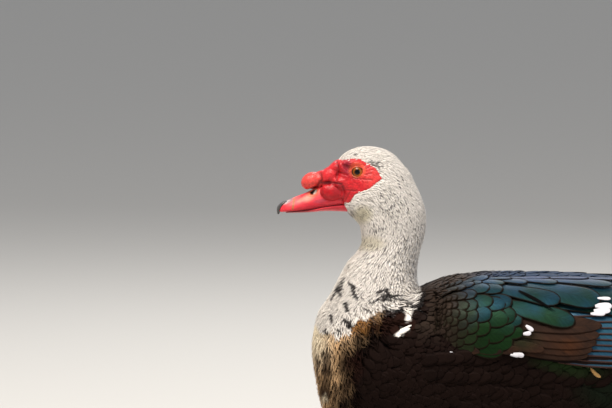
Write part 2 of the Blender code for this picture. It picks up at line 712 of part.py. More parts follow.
def make_tail():
    """The tail: a stub, a closed fan of feathers, and the coverts over and under them."""
    rings = []
    rows = np.array(TAIL_CORE)
    knots = rows[0, 0] - rows[:, 0]
    for back in np.linspace(0, knots[-1], 5):
        x, z, half_width, half_height = smooth(knots, rows, back)
        if back == 0:
            x -= GAP
        across = Vector((0, half_width, 0))
        rings.append(ellipse_ring(Vector((x, 0, z)), across, Vector((0, 0, half_height)), 20))
    tail = loft("tail", rings)
    vanes = []
    for k in range(TAIL_VANES):
        index = k - (TAIL_VANES - 1) / 2
        tip = (TAIL_TIP[0] + 0.00022 * index * index, TAIL_TIP[1])
        name = f"tail feather {k}"
        vanes.append(tail_vane(name, index, TAIL_ROOT, tip, TAIL_HALF_WIDTH, TAIL_STACK, TAIL_FAN_DEGREES))
    for name, count, root, tip, half_width, stack, fan in TAIL_COVERTS:
        for k in range(count):
            index = k - (count - 1) / 2
            end = (tip[0] + 0.002 * index * index, tip[1])
            vanes.append(tail_vane(f"{name} {k}", index, root, end, half_width, stack, fan))
    combine(tail, vanes, "UNION")
    finish(tail, "tail", "tail_feather", 30)


def leg_places(side_name, side):
    """Hip, hock and foot joint of a leg."""
    foot = Vector((FOOT_X[side_name], LEG_SPREAD * side, ANKLE_HEIGHT))
    drop = HOCK_HEIGHT - foot.z
    back = math.sqrt(TARSUS_LENGTH**2 - drop**2) + HOCK_BACK
    hock = Vector((foot.x - back, foot.y, HOCK_HEIGHT))
    ahead, out, up = HIP_FROM_HOCK
    return hock + Vector((ahead, out * side, up)), hock, foot


def shank_solid(side_name, side, grow=0.0):
    """The bare shank from the hock down to the toes."""
    _, hock, foot = leg_places(side_name, side)
    along = foot - hock
    path = [hock + along * share for share in SHANK_SHARES]
    path[0] = path[0] - along.normalized() * grow
    path[-1] = path[-1] + along.normalized() * grow
    return limb("shank", path, [radius + grow for radius in SHANK_RADII])


def make_leg(side_name, side):
    """The feathered thigh, cut clear of the torso, and the bare shank."""
    hip, hock, _ = leg_places(side_name, side)
    path = [hock.lerp(hip, share) for share in THIGH_SHARES]
    thigh = limb("thigh", path, THIGH_RADII, 2)
    cutters = [skin_length("torso_cutter", NECK_ENDS_AT, "tail root", CUT_GAP)]
    cutters.append(shank_solid(side_name, side, CUT_GAP))
    combine(thigh, cutters, "DIFFERENCE")
    finish(thigh, "thigh_" + side_name, "dark_feather")
    finish(shank_solid(side_name, side), "shank_" + side_name, "foot_skin")


def heading_from(foot, side, length, heading_degrees):
    """The direction of a toe and the floor point where it ends."""
    turn = math.radians(heading_degrees) * side
    along = Vector((math.cos(turn), math.sin(turn), 0))
    return along, Vector((foot.x, foot.y, 0)) + along * length


def web_solid(base, tips):
    """The thin web between the toes, its front edge drawn in between their ends."""
    outline = [base]
    for k, tip in enumerate(tips):
        outline.append(base.lerp(tip, WEB_REACH))
        if k + 1 < len(tips):
            outline.append(base.lerp((tip + tips[k + 1]) / 2, WEB_NOTCH))
    rings = []
    for height in (WEB_BASE_HEIGHT, WEB_BASE_HEIGHT + WEB_THICKNESS):
        rings.append([p + Vector((0, 0, height)) for p in outline])
    return loft("web", rings)


def floor_block(foot):
    """A block under the floor, which cuts the soles flat."""
    bpy.ops.mesh.primitive_cube_add(size=1.0)
    block = bpy.context.object
    depth = 0.1
    size = Matrix.Diagonal((0.4, 0.4, depth, 1))
    block.data.transform(Matrix.Translation((foot.x, foot.y, -depth / 2)) @ size)
    return block


def make_foot(side_name, side):
    """A webbed foot with three front toes, the hind toe, and a claw on each."""
    _, _, foot = leg_places(side_name, side)
    knuckle_place = (foot.x, foot.y, KNUCKLE_HEIGHT)
    whole = ball("knuckle", knuckle_place, KNUCKLE_HALF, 0, 14, 8)
    pieces = []
    tips = []
    claws = []
    for name, length, heading, radius in TOES:
        along, tip = heading_from(foot, side, length, heading)
        path = []
        for share, swell in zip(TOE_SHARES, TOE_SWELLS):
            spot = Vector((foot.x, foot.y, 0)).lerp(tip, share)
            spot.z = radius * max(swell, 0.80) * TOE_FLATTENING
            path.append(spot)
        pieces.append(limb("toe", path, [radius * swell for swell in TOE_SWELLS]))
        tips.append(tip)
        claws.append((name, path[-1], path[-1] - path[-2], radius * TOE_SWELLS[-1]))
    pieces.append(web_solid(Vector((foot.x, foot.y, 0)), tips))

    name, length, heading, radius = HALLUX
    along, end = heading_from(foot, side, HALLUX_ROOT + length, heading)
    end.z = HALLUX_END_HEIGHT
    start = Vector((foot.x, foot.y, HALLUX_RISE))
    pieces.append(limb("hind toe", [start, start.lerp(end, 0.55), end], [radius * 1.1, radius, radius * 0.8]))
    claws.append((name, end, end - start, radius * 0.8))

    combine(whole, pieces, "UNION")
    combine(whole, [floor_block(foot), shank_solid(side_name, side, CUT_GAP)], "DIFFERENCE")
    finish(whole, "foot_" + side_name, "foot_skin")
    for name, start, along, radius in claws:
        along.normalize()
        claw = claw_solid(start + along * GAP, along, radius * CLAW_ROOT_SHARE)
        finish(claw, f"claw_{name}_{side_name}", "claw_horn")


def claw_solid(start, along, radius):
    """A claw that leaves the toe straight and curves down to a point just above the floor."""
    path = [start + along * CLAW_LENGTH * share for share in CLAW_SHARES]
    root_height = path[1].z
    for spot, share in zip(path[2:], CLAW_SHARES[2:]):
        arch = CLAW_ARCH * math.sin(math.pi * share)
        spot.z = root_height * (1 - share**2) + CLAW_POINT_HEIGHT * share**2 + arch
    return limb("claw", path, [radius * swell for swell in CLAW_SWELLS] + [CLAW_POINT_RADIUS])


def main():
    for old in list(bpy.data.objects):
        bpy.data.objects.remove(old)
    make_head()
    make_neck()
    make_torso()
    make_tail()
    for side_name, side in (("left", 1), ("right", -1)):
        make_wing(side_name, side)
        make_leg(side_name, side)
        make_foot(side_name, side)
    duck = bpy.data.collections.new("muscovy_duck")
    bpy.context.scene.collection.children.link(duck)
    for obj in list(bpy.context.scene.collection.objects):
        duck.objects.link(obj)
        bpy.context.scene.collection.objects.unlink(obj)


main()
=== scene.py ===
import math

import bmesh
import bpy
import numpy as np
from mathutils.kdtree import KDTree
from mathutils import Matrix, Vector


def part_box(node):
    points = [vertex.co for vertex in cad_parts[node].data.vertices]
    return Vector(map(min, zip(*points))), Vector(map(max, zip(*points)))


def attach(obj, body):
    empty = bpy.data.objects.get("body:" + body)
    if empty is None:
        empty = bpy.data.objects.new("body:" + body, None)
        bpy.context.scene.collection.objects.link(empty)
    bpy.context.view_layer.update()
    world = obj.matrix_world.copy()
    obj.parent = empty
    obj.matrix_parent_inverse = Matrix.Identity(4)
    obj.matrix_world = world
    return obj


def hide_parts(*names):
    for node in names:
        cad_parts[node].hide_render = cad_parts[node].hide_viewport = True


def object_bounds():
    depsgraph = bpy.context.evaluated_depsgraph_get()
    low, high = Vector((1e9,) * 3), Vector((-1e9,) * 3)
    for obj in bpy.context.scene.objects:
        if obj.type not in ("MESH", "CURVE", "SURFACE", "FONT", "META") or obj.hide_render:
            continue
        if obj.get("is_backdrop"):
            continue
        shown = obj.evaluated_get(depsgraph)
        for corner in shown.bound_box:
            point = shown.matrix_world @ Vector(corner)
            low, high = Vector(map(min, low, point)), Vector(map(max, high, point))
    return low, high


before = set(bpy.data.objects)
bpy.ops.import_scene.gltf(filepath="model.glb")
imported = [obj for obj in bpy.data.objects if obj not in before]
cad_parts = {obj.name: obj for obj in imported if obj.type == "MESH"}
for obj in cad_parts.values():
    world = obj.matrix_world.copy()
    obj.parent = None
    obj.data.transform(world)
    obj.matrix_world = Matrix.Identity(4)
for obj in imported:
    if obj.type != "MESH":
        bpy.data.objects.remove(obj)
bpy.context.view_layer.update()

# The skin of the muscovy duck, one closed surface over head, neck, body and thighs. It is soft
# skin under a mat of down, so it lies below the feathers by their depth and has the same markings.

SKIN_RINGS = [  # back x, back z, breast x, breast z, half width, level of the widest place, fullness
    (0.2530, 0.3750, 0.2420, 0.3355, 0.0140, -0.10, 0.90),  # face
    (0.2470, 0.3885, 0.2395, 0.3335, 0.0188, -0.12, 0.95),  # forehead
    (0.2330, 0.3978, 0.2350, 0.3290, 0.0222, -0.15, 0.98),  # eye
    (0.2180, 0.3999, 0.2310, 0.3250, 0.0243, -0.15, 1.00),  # crown
    (0.1980, 0.3950, 0.2275, 0.3205, 0.0255, -0.10, 1.00),  # hind crown
    (0.1825, 0.3800, 0.2263, 0.3150, 0.0265, -0.05, 1.00),  # occiput
    (0.1700, 0.3590, 0.2256, 0.3085, 0.0275, 0.00, 1.00),  # nape
    (0.1615, 0.3360, 0.2260, 0.3020, 0.0285, 0.00, 1.00),  # hind neck
    (0.1615, 0.3140, 0.2310, 0.2935, 0.0300, 0.00, 1.00),  # mid neck
    (0.1670, 0.2930, 0.2400, 0.2835, 0.0330, 0.00, 1.00),  # low neck
    (0.1695, 0.2780, 0.2480, 0.2690, 0.0380, -0.05, 1.00),  # neck base
    (0.1695, 0.2680, 0.2575, 0.2510, 0.0460, -0.10, 1.00),  # collar
    (0.1685, 0.2620, 0.2695, 0.2320, 0.0560, -0.10, 0.98),  # crop
    (0.1660, 0.2590, 0.2742, 0.2010, 0.0655, -0.05, 0.97),  # breast
    (0.1580, 0.2625, 0.2705, 0.1680, 0.0735, 0.00, 0.97),  # shoulder
    (0.1420, 0.2685, 0.2620, 0.1320, 0.0790, 0.02, 0.96),  # keel
    (0.1120, 0.2730, 0.2220, 0.0990, 0.0840, 0.05, 0.96),  # mantle
    (0.0670, 0.2745, 0.1500, 0.0830, 0.0875, 0.07, 0.95),  # back
    (0.0120, 0.2730, 0.0570, 0.0800, 0.0885, 0.08, 0.95),  # loin
    (-0.0430, 0.2675, -0.0230, 0.0860, 0.0840, 0.10, 0.96),  # belly
    (-0.0980, 0.2590, -0.0930, 0.1080, 0.0720, 0.10, 0.98),  # vent
    (-0.1480, 0.2480, -0.1480, 0.1480, 0.0530, 0.06, 1.00),  # rump
    (-0.1850, 0.2390, -0.1850, 0.1930, 0.0340, 0.00, 1.00),  # tail root
]
HOCKS = {"left": (0.005, 0.047, 0.070), "right": (-0.019, -0.047, 0.070)}
HIP_REACH = (0.044, -0.010, 0.066)  # from a hock to its hip: forwards, inwards and up
SKIN_GRAIN = 0.0024  # the spacing of the skin's mesh
THIGH_SHARES = (0.0, 0.08, 0.20, 0.35, 0.50, 0.70, 0.90)
THIGH_RADII = (0.0082, 0.0118, 0.0165, 0.0230, 0.0290, 0.0340, 0.0330)


def clamp(values):
    """The values kept between zero and one."""
    return np.clip(values, 0, 1)


def full_turn(count):
    """Angles spread evenly round a circle."""
    return np.linspace(0, 2 * np.pi, count, endpoint=False)


def hermite(knots, rows, at):
    """Rows of values along one smooth curve through their knots."""
    knots, rows, at = np.asarray(knots, float), np.asarray(rows, float), np.asarray(at, float)
    slopes = np.gradient(rows, knots, axis=0)
    first = np.clip(np.searchsorted(knots, at) - 1, 0, len(knots) - 2)
    gap = (knots[first + 1] - knots[first])[..., None]
    share = clamp((at - knots[first])[..., None] / gap)
    back = 1 - share
    return (
        (1 + 2 * share) * back * back * rows[first]
        + share * back * back * gap * slopes[first]
        + share * share * (3 - 2 * share) * rows[first + 1]
        - share * share * back * gap * slopes[first + 1]
    )


def unit(vectors):
    """The same directions at length one."""
    return vectors / np.maximum(np.linalg.norm(vectors, axis=-1, keepdims=True), 1e-12)


ring_table = np.array(SKIN_RINGS)
ring_middles = (ring_table[:, 0:2] + ring_table[:, 2:4]) / 2
ring_gaps = np.linalg.norm(np.diff(ring_middles, axis=0), axis=1)
ring_knots = np.concatenate([[0.0], np.cumsum(ring_gaps)])
body_length = ring_knots[-1]


def body_place(distance, turn):
    """Points of the plumage's outside, by distance from the face and turn from back to left."""
    row = hermite(ring_knots, ring_table, distance)
    lift = np.sign(np.cos(turn)) * np.abs(np.cos(turn)) ** row[..., 6]
    out = np.sign(np.sin(turn)) * np.abs(np.sin(turn)) ** row[..., 6]
    lift = lift + row[..., 5] * (1 - lift * lift)
    middle, rise = (row[..., 0:2] + row[..., 2:4]) / 2, (row[..., 0:2] - row[..., 2:4]) / 2
    flat = middle + rise * lift[..., None]
    return np.stack([flat[..., 0], row[..., 4] * out, flat[..., 1]], axis=-1)


def surface_frame(place, along, across, sign=1):
    """Point, outward direction and length of one step along, on a surface given by two numbers."""
    step = 1e-4
    ahead = (place(along + step, across) - place(along - step, across)) / (2 * step)
    aside = (place(along, across + step * 10) - place(along, across - step * 10)) / (20 * step)
    outward = unit(np.cross(aside, ahead)) * sign
    return place(along, across), outward, np.linalg.norm(ahead, axis=-1)


def coat_depth(distance):
    """How deep the feathers lie on the skin, from the face to the tail."""
    stations = [0.0, 0.06, 0.10, 0.16, 0.22, body_length]
    return np.interp(distance, stations, [0.0007, 0.0010, 0.0016, 0.0026, 0.0044, 0.0044])


def linear(code):
    """An sRGB colour written as hex, in linear light and opaque."""
    parts = [int(code[i : i + 2], 16) / 255 for i in (1, 3, 5)]
    return [p / 12.92 if p <= 0.04045 else ((p + 0.055) / 1.055) ** 2.4 for p in parts] + [1.0]


def tone(code):
    """The same colour as an array of three."""
    return np.array(linear(code)[:3])


def add(tree, kind, settings=None, **inputs):
    """One node with its settings. An input is a value, or another node's output to be linked."""
    node = tree.nodes.new(kind)
    for name, value in (settings or {}).items():
        setattr(node, name, value)
    for name, value in inputs.items():
        socket = node.inputs[int(name[1:])] if name[1:].isdigit() else node.inputs[name.replace("_", " ")]
        if isinstance(value, bpy.types.NodeSocket):
            tree.links.new(value, socket)
        else:
            socket.default_value = value
    return node


DARKEN = {"data_type": "RGBA", "blend_type": "MULTIPLY"}  # one colour darkened by another


def blank(name, **looks):
    """A material with its shader and output joined and no more, as (material, tree, shader)."""
    material = bpy.data.materials.new(name)
    material.use_nodes = True
    material.node_tree.nodes.clear()
    shader = add(material.node_tree, "ShaderNodeBsdfPrincipled", **looks)
    add(material.node_tree, "ShaderNodeOutputMaterial", Surface=shader.outputs[0])
    return material, material.node_tree, shader


def own_places(tree):
    """Places on the piece itself, in metres."""
    return add(tree, "ShaderNodeTexCoord").outputs["Object"]


def painted_tint(tree):
    """The colour that is painted on the piece's points."""
    return add(tree, "ShaderNodeAttribute", {"attribute_name": "Tint"}).outputs["Color"]


def relief(tree, shader, height, strength, distance):
    """Shades the surface as if it were raised by a height times the distance."""
    bump = add(tree, "ShaderNodeBump", Strength=strength, Distance=distance, Height=height)
    tree.links.new(bump.outputs[0], shader.inputs["Normal"])


def paint(piece, colours):
    """Writes the colour of each point into the piece's attribute Tint."""
    held = piece.data.attributes.get("Tint") or piece.data.attributes.new("Tint", "FLOAT_COLOR", "POINT")
    rows = np.ones((len(piece.data.vertices), 4), np.float32)
    rows[:, :3] = colours
    held.data.foreach_set("color", rows.ravel())


def points_of(piece):
    """The places of a mesh's points as an array."""
    places = np.zeros(len(piece.data.vertices) * 3, np.float32)
    piece.data.vertices.foreach_get("co", places)
    return places.reshape(-1, 3).astype(float)


def tubes(name, rings, material, values=None, maps=None):
    """Closed tubes in one mesh, from rings of points (tube, step, round, xyz), with values and UV maps."""
    count, steps, around = rings.shape[:3]
    index = np.arange(count * steps * around).reshape(count, steps, around)
    near, far = index[:, :-1], index[:, 1:]
    quads = np.stack([near, np.roll(near, -1, 2), np.roll(far, -1, 2), far], axis=-1).reshape(-1, 4)
    caps = np.concatenate([index[:, 0, ::-1].reshape(-1, around), index[:, -1].reshape(-1, around)])
    places = rings.reshape(-1, 3)
    corner = places[quads] - places[quads[:, 0]].mean(0)
    volume = np.einsum("ij,ij->", corner[:, 0], np.cross(corner[:, 1], corner[:, 2]))
    volume += np.einsum("ij,ij->", corner[:, 0], np.cross(corner[:, 2], corner[:, 3]))
    if volume < 0:
        quads, caps = quads[:, ::-1], caps[:, ::-1]
    loops = np.concatenate([quads.ravel(), caps.ravel()]).astype(np.int32)
    sizes = np.concatenate([np.full(len(quads), 4), np.full(len(caps), around)])
    mesh = bpy.data.meshes.new(name)
    mesh.vertices.add(len(places))
    mesh.vertices.foreach_set("co", places.astype(np.float32).ravel())
    mesh.loops.add(len(loops))
    mesh.loops.foreach_set("vertex_index", loops)
    mesh.polygons.add(len(sizes))
    mesh.polygons.foreach_set("loop_start", np.concatenate([[0], np.cumsum(sizes)[:-1]]).astype(np.int32))
    mesh.polygons.foreach_set("use_smooth", np.ones(len(sizes), bool))
    mesh.update(calc_edges=True)
    for key, held in (values or {}).items():
        held = np.broadcast_to(held, (count, steps, around) + np.shape(held)[3:])
        if held.ndim == 4:
            rows = np.ones((len(places), 4), np.float32)
            rows[:, :3] = held.reshape(-1, 3)
            mesh.attributes.new(key, "FLOAT_COLOR", "POINT").data.foreach_set("color", rows.ravel())
        else:
            rows = held.reshape(-1).astype(np.float32)
            mesh.attributes.new(key, "FLOAT", "POINT").data.foreach_set("value", rows)
    for key, held in (maps or {}).items():
        held = np.broadcast_to(held, (count, steps, around, 2)).reshape(-1, 2)
        mesh.uv_layers.new(name=key).data.foreach_set("uv", held[loops].astype(np.float32).ravel())
    mesh.materials.append(material)
    piece = bpy.data.objects.new(name, mesh)
    bpy.context.scene.collection.objects.link(piece)
    return piece


def limb_rings(middles, radii, sides):
    """Rings of points square to a smooth line, for tubes."""
    middles, radii = np.asarray(middles, float), np.asarray(radii, float)
    ahead = unit(np.gradient(middles, axis=0))
    aside = unit(np.cross(ahead, np.where(np.abs(ahead[:, 1:2]) > 0.9, (0.0, 0.0, 1.0), (0.0, 1.0, 0.0))))
    above = np.cross(ahead, aside)
    turn = full_turn(sides)
    spokes = aside[:, None] * np.cos(turn)[:, None] + above[:, None] * np.sin(turn)[:, None]
    return middles[:, None] + spokes * radii[:, None, None]


def settle(piece):
    """Makes what the piece's modifiers give its plain mesh."""
    made = bpy.data.meshes.new_from_object(piece.evaluated_get(bpy.context.evaluated_depsgraph_get()))
    made.name = piece.name
    piece.modifiers.clear()
    piece.data = made
    made.polygons.foreach_set("use_smooth", np.ones(len(made.polygons), bool))


def remeshed(piece, size, rounds):
    """One even closed surface over all the shells of a piece, made soft by rounds of smoothing."""
    cover = piece.modifiers.new("cover", "REMESH")
    cover.mode = "VOXEL"
    cover.voxel_size = size
    soft = piece.modifiers.new("soft", "SMOOTH")
    soft.factor = 0.5
    soft.iterations = rounds
    settle(piece)


def joined(name, pieces):
    """One object of several, their closed shells side by side in one mesh."""
    shells = bmesh.new()
    for piece in pieces:
        shells.from_mesh(piece.data)
    mesh = bpy.data.meshes.new(name)
    shells.to_mesh(mesh)
    shells.free()
    mesh.materials.append(pieces[0].data.materials[0])
    for piece in pieces:
        bpy.data.objects.remove(piece)
    whole = bpy.data.objects.new(name, mesh)
    bpy.context.scene.collection.objects.link(whole)
    return whole


# The photo's corner in millimetres, and its fall with a metre of width.
SIGHT_RIGHT, SIGHT_DOWN, SIGHT_SINK = 587, 546, 70


def sighted(places):
    """Where a point shows in the photo, in millimetres to the right and down, the far side mirrored."""
    right = SIGHT_RIGHT - 1000 * places[..., 0]
    return right, SIGHT_DOWN - 1000 * places[..., 2] + SIGHT_SINK * np.abs(places[..., 1])


def seen(places):
    """The same with the far side wavered, so that its markings aren't the near side's to a hair."""
    far = (places[..., 1] < 0).astype(float)
    right, down = sighted(places)
    return (
        right + far * (4 * np.sin(down / 9) + 3 * np.sin(down / 3.7 + right / 11)),
        down + far * (4 * np.sin(right / 8) + 3 * np.cos(right / 4.3)),
    )


def blot(right, down, at, size, tilt=0.0, edge=0.25):
    """One inside an oval patch, none outside, with a soft edge."""
    turn = math.radians(tilt)
    x, y = right - at[0], down - at[1]
    along = (x * math.cos(turn) + y * math.sin(turn)) / size[0]
    across = (-x * math.sin(turn) + y * math.cos(turn)) / size[1]
    return clamp((1 - np.sqrt(along**2 + across**2)) / edge + 0.5)


def stroke(right, down, start, end, width):
    """One on a straight mark, none off it."""
    line = np.subtract(end, start)
    share = clamp(((right - start[0]) * line[0] + (down - start[1]) * line[1]) / (line @ line))
    away = np.hypot(right - start[0] - share * line[0], down - start[1] - share * line[1])
    return clamp((width - away) / 1.1 + 0.5)


WHITE_EDGE = [  # where the white of the neck ends on the side, as seen: right, down
    (300, 326), (318, 330), (325, 334), (338, 339), (350, 333), (354, 326), (361, 320), (374, 316),
    (378, 309), (398, 310), (403, 307), (405.5, 319), (409, 317), (416, 309), (419, 298), (420.5, 290),
    (422, 250),
]
NECK_MARKS = [  # dark strokes at the base of the neck: start, end, half width
    ((343, 279), (337, 290), 1.1), ((337, 290), (330, 299), 1.4), ((335, 286), (340, 296), 1.2),
    ((333, 291), (341, 289), 0.9), ((349, 284), (354, 287), 1.6), ((353, 288), (355, 298), 1.5),
    ((347.2, 265), (348.2, 268), 1.2), ((344, 304), (347, 311), 2.3), ((329, 315), (331, 321), 1.9),
    ((344, 321), (350, 327), 2.8), ((348, 322), (352, 329), 1.6), ((325, 332), (327, 334), 1.3),
    ((377, 293), (388, 290), 1.3), ((383, 297), (388, 294), 2.2), ((386, 290), (390, 300), 1.5),
    ((390, 297), (401, 295), 1.4), ((370, 303), (379, 300), 1.0), ((377, 301), (386, 299), 1.3),
    ((394, 299), (404, 300), 0.9), ((408, 303), (417, 305), 1.5), ((383, 307), (391, 305), 1.0),
    ((360, 296), (362, 299), 0.9), ((364, 309), (369, 311), 0.9), ((338, 330), (340, 333), 0.9),
]
CHEST_STREAKS = [  # dark streaks in the tan of the chest: start, end, half width
    ((325, 355), (328, 374), 2.8), ((327, 372), (326, 392), 3.4), ((316, 360), (319, 382), 2.2),
    ((345, 352), (349, 372), 3.6), ((336, 384), (333, 408), 2.6), ((318, 388), (320, 404), 2.0),
]
CHEST_BLOTS = [  # brown-black clouds in the tan of the chest: middle, half sizes, tilt, strength
    ((352, 364), (11, 11), 0, 0.9), ((349, 384), (6, 12), 12, 0.6), ((322, 396), (7, 8), 0, 0.85),
    ((338, 398), (5, 8), 0, 0.5),
]
FRONT_MARKS = [  # dark strokes on neck and chest, as seen from in front: across, down, half width
    ((-8, 284), (-6, 291), 1.1), ((5, 291), (8, 298), 1.3), ((-3, 303), (-5, 309), 1.2),
    ((9, 311), (7, 318), 1.3), ((-12, 316), (-10, 323), 1.4), ((1, 320), (3, 326), 1.2),
    ((-4, 352), (-6, 371), 1.8), ((8, 360), (7, 380), 2.0), ((-12, 370), (-10, 392), 2.2),
    ((2, 384), (1, 402), 2.0), ((12, 392), (10, 410), 2.2),
]
BREAST_RUST = ((392, 324), (22, 12))  # further patches as seen: middle, half sizes, tilt, softness
FLANK_GREEN = ((610, 388), (34, 22), 0, 0.8)
CHEST_GOLD = ((364, 326), (20, 11), 0, 0.8)
CHEST_CREAM = ((324.5, 400), (3.2, 4.5), 0, 0.8)
CHEEK_BUFF = ((363, 215), (9, 8), 0, 0.8)
THROAT_BUFF = ((370, 244), (13, 7), 0, 0.8)
WHITE_LOBE = ((401, 331.5), (7.2, 2.6), -24)
CHEST_DOWNS = [300, 318, 332, 345, 360, 385, 408, 440, 470]  # how far back the tan of the chest reaches
CHEST_RIGHTS = [372, 382, 368, 354, 345, 348, 340, 320, 300]
WHITE, DARK, CREAM = tone("#EAE3DB"), tone("#1C1412"), tone("#EBDCC0")
TAN, GOLD, BUFF = tone("#CBA67C"), tone("#8C602F"), tone("#C4B98F")
FLANK, RUSSET, OLIVE = tone("#160D0A"), tone("#22120D"), tone("#101A10")
MANTLE, BACK_GLOSS_AND_SKY_REFLECTION = tone("#352C26"), tone("#1A2A40")


def mix(first, second, share):
    """The two colours mixed by a share at each point."""
    return first + (second - first) * np.asarray(share)[..., None]


def chest_edge(down):
    """How far back the tan of the chest reaches, as seen, at each height."""
    return np.interp(down, CHEST_DOWNS, CHEST_RIGHTS)


def body_tint(places):
    """The plumage's own colour at each point of head, neck and body."""
    right, down = seen(places)
    waver = 1.6 * np.sin(right / 2.3) + 1.2 * np.sin(down / 3.1 + right / 5)
    colour = FLANK
    colour = mix(colour, RUSSET, 0.8 * blot(right, down, *BREAST_RUST))
    above = clamp((300 - down) / 16) * (places[..., 0] < 0.172)
    # The blue on top of the back is its own gloss and a painted reflection of the sky.
    blue = clamp((right - 462) / 40) * clamp((292 - down) / 10)
    colour = mix(colour, mix(MANTLE, BACK_GLOSS_AND_SKY_REFLECTION, blue), above)
    colour = mix(colour, OLIVE, 0.7 * blot(right, down, *FLANK_GREEN))
    rump = clamp((right - 640) / 40) * clamp((places[..., 2] - 0.225) / 0.01)
    colour = mix(colour, OLIVE, rump)
    front = chest_edge(down)
    tan = clamp((front + 12 + waver * 2.5 - right) / 30) ** 1.8 * clamp((456 - down) / 40)
    sandy = mix(TAN, GOLD, blot(right, down, *CHEST_GOLD))
    sandy = mix(sandy, CREAM, clamp((336 - right) / 18) * clamp((378 - down) / 30))
    colour = mix(colour, sandy, tan)
    side = clamp((np.abs(places[..., 1]) - 0.007) / 0.010)
    for start, end, width in CHEST_STREAKS:
        colour = mix(colour, RUSSET, 0.8 * side * tan * stroke(right + waver, down, start, end, width))
    for middle, size, tilt, share in CHEST_BLOTS:
        colour = mix(colour, RUSSET, share * side * blot(right + waver, down, middle, size, tilt, 0.9))
    colour = mix(colour, CREAM, 0.7 * blot(right, down, *CHEST_CREAM))
    edge = np.interp(right, *np.array(WHITE_EDGE).T)
    white = clamp((edge + waver - down) / 2.0 + 0.5) * (places[..., 0] > 0.155)
    # Buff patches under the cheek and on the throat, warmer and darker than the white.
    pale = mix(WHITE, BUFF, 0.55 * blot(right, down, *CHEEK_BUFF))
    pale = mix(pale, BUFF, 0.45 * blot(right, down, *THROAT_BUFF))
    colour = mix(colour, pale, white)
    colour = mix(colour, WHITE, blot(right, down, *WHITE_LOBE))
    ragged = 0.5 * waver + 0.8 * np.sin(down * 1.9 + right * 0.7)
    strands = np.clip(1.0 + 0.16 * np.sin(right * 4.3 + 3 * np.sin(down * 2.7)), 0, 0.985)
    for start, end, width in NECK_MARKS:
        mark = strands * side * stroke(right + ragged, down + 0.6 * ragged, start, end, width)
        colour = mix(colour, DARK, mark)
    across = 1000 * places[..., 1]
    for start, end, width in FRONT_MARKS:
        mark = (1 - side) * (places[..., 0] > 0.2) * stroke(across + waver * 0.4, down, start, end, width)
        colour = mix(colour, mix(DARK, RUSSET, np.asarray(white < 0.5, float)), 0.85 * mark)
    return colour


skin_material, tree, shader = blank("bare_skin_and_down", Roughness=0.85, Specular_IOR_Level=0.2)
# Skin with down between the feathers: no gloss, and a coarse mottle of 3 mm that shows as shadow
# between the vanes.
coords = own_places(tree)
mottle = add(tree, "ShaderNodeTexNoise", Vector=coords, Scale=330.0, Detail=3.0)
shade = add(tree, "ShaderNodeMapRange", Value=mottle.outputs["Fac"], To_Min=0.45, To_Max=0.95)
base = add(tree, "ShaderNodeMix", DARKEN, i0=1.0, i6=painted_tint(tree), i7=shade.outputs[0])
tree.links.new(base.outputs[2], shader.inputs["Base Color"])

distances = np.linspace(0.0, body_length, 260)
turns = full_turn(128)
grid_distance, grid_turn = np.meshgrid(distances, turns, indexing="ij")
skin_points, skin_out, _ = surface_frame(body_place, grid_distance, grid_turn)
skin_points = skin_points - skin_out * coat_depth(grid_distance)[..., None]
shells = [tubes("trunk", skin_points[None], skin_material)]
thigh_lines = {}
for side, hock in HOCKS.items():
    hip = np.add(hock, (HIP_REACH[0], HIP_REACH[1] * np.sign(hock[1]), HIP_REACH[2]))
    shares = np.linspace(0.0, 0.9, 30)
    line = np.array(hock) + (hip - hock) * shares[:, None]
    radii = hermite(THIGH_SHARES, np.array(THIGH_RADII)[:, None], shares)[:, 0]
    thigh_lines[side] = (np.array(hock), hip)
    shells.append(tubes("thigh", limb_rings(line, radii, 48)[None], skin_material))
skin = joined("skin", shells)
remeshed(skin, SKIN_GRAIN, 4)
paint(skin, body_tint(points_of(skin)))
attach(skin, "root")
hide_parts("head", "neck", "torso", "thigh_left", "thigh_right")

# The contour feathers of head and neck: short, narrow, white vanes like a close velvet, each one
# rooted in the skin and lying back over the next, with small dark ones strewn among them.

FACE_EDGE = [  # where the bare face ends, in metres forwards and up
    (0.2565, 0.3810), (0.2507, 0.3855), (0.2424, 0.3872), (0.2341, 0.3892), (0.2275, 0.3886),
    (0.2216, 0.3853), (0.2134, 0.3811), (0.2084, 0.3753), (0.2051, 0.3687), (0.2109, 0.3645),
    (0.2175, 0.3587), (0.2258, 0.3554), (0.2324, 0.3530), (0.2353, 0.3480), (0.2374, 0.3446),
    (0.2430, 0.3428), (0.2600, 0.3425), (0.2700, 0.3500), (0.2700, 0.3720),
]
LANCE = ((-1.0, 0), (0.0, 1), (1.0, 0))  # a tuft's section: how far across, and on its top or not
VANE = ((-1.0, 0), (-0.5, 1), (0.0, 1), (0.5, 1), (1.0, 0), (0.0, -1))
TUFT_STEPS = (0.0, 0.35, 0.75, 1.0)
FEATHER_STEPS = (0.0, 0.25, 0.5, 0.7, 0.85, 0.95, 1.0)
TUFT_PATCH = 0.003  # how wide one tuft is on the map OFBake


def inside(x, z, outline):
    """Whether points lie in a closed outline."""
    hit = np.zeros(np.shape(x), bool)
    for (x0, z0), (x1, z1) in zip(outline, outline[1:] + outline[:1]):
        crossed = (z0 > z) != (z1 > z)
        hit ^= crossed & (x < (x1 - x0) * (z - z0) / (z1 - z0 + 1e-15) + x0)
    return hit


def grown(outline, reach):
    """The outline moved outwards from its middle by a reach."""
    middle = np.mean(outline, axis=0)
    moved = []
    for corner in outline:
        away = np.subtract(corner, middle)
        moved.append(tuple(np.add(corner, reach * away / np.linalg.norm(away))))
    return moved


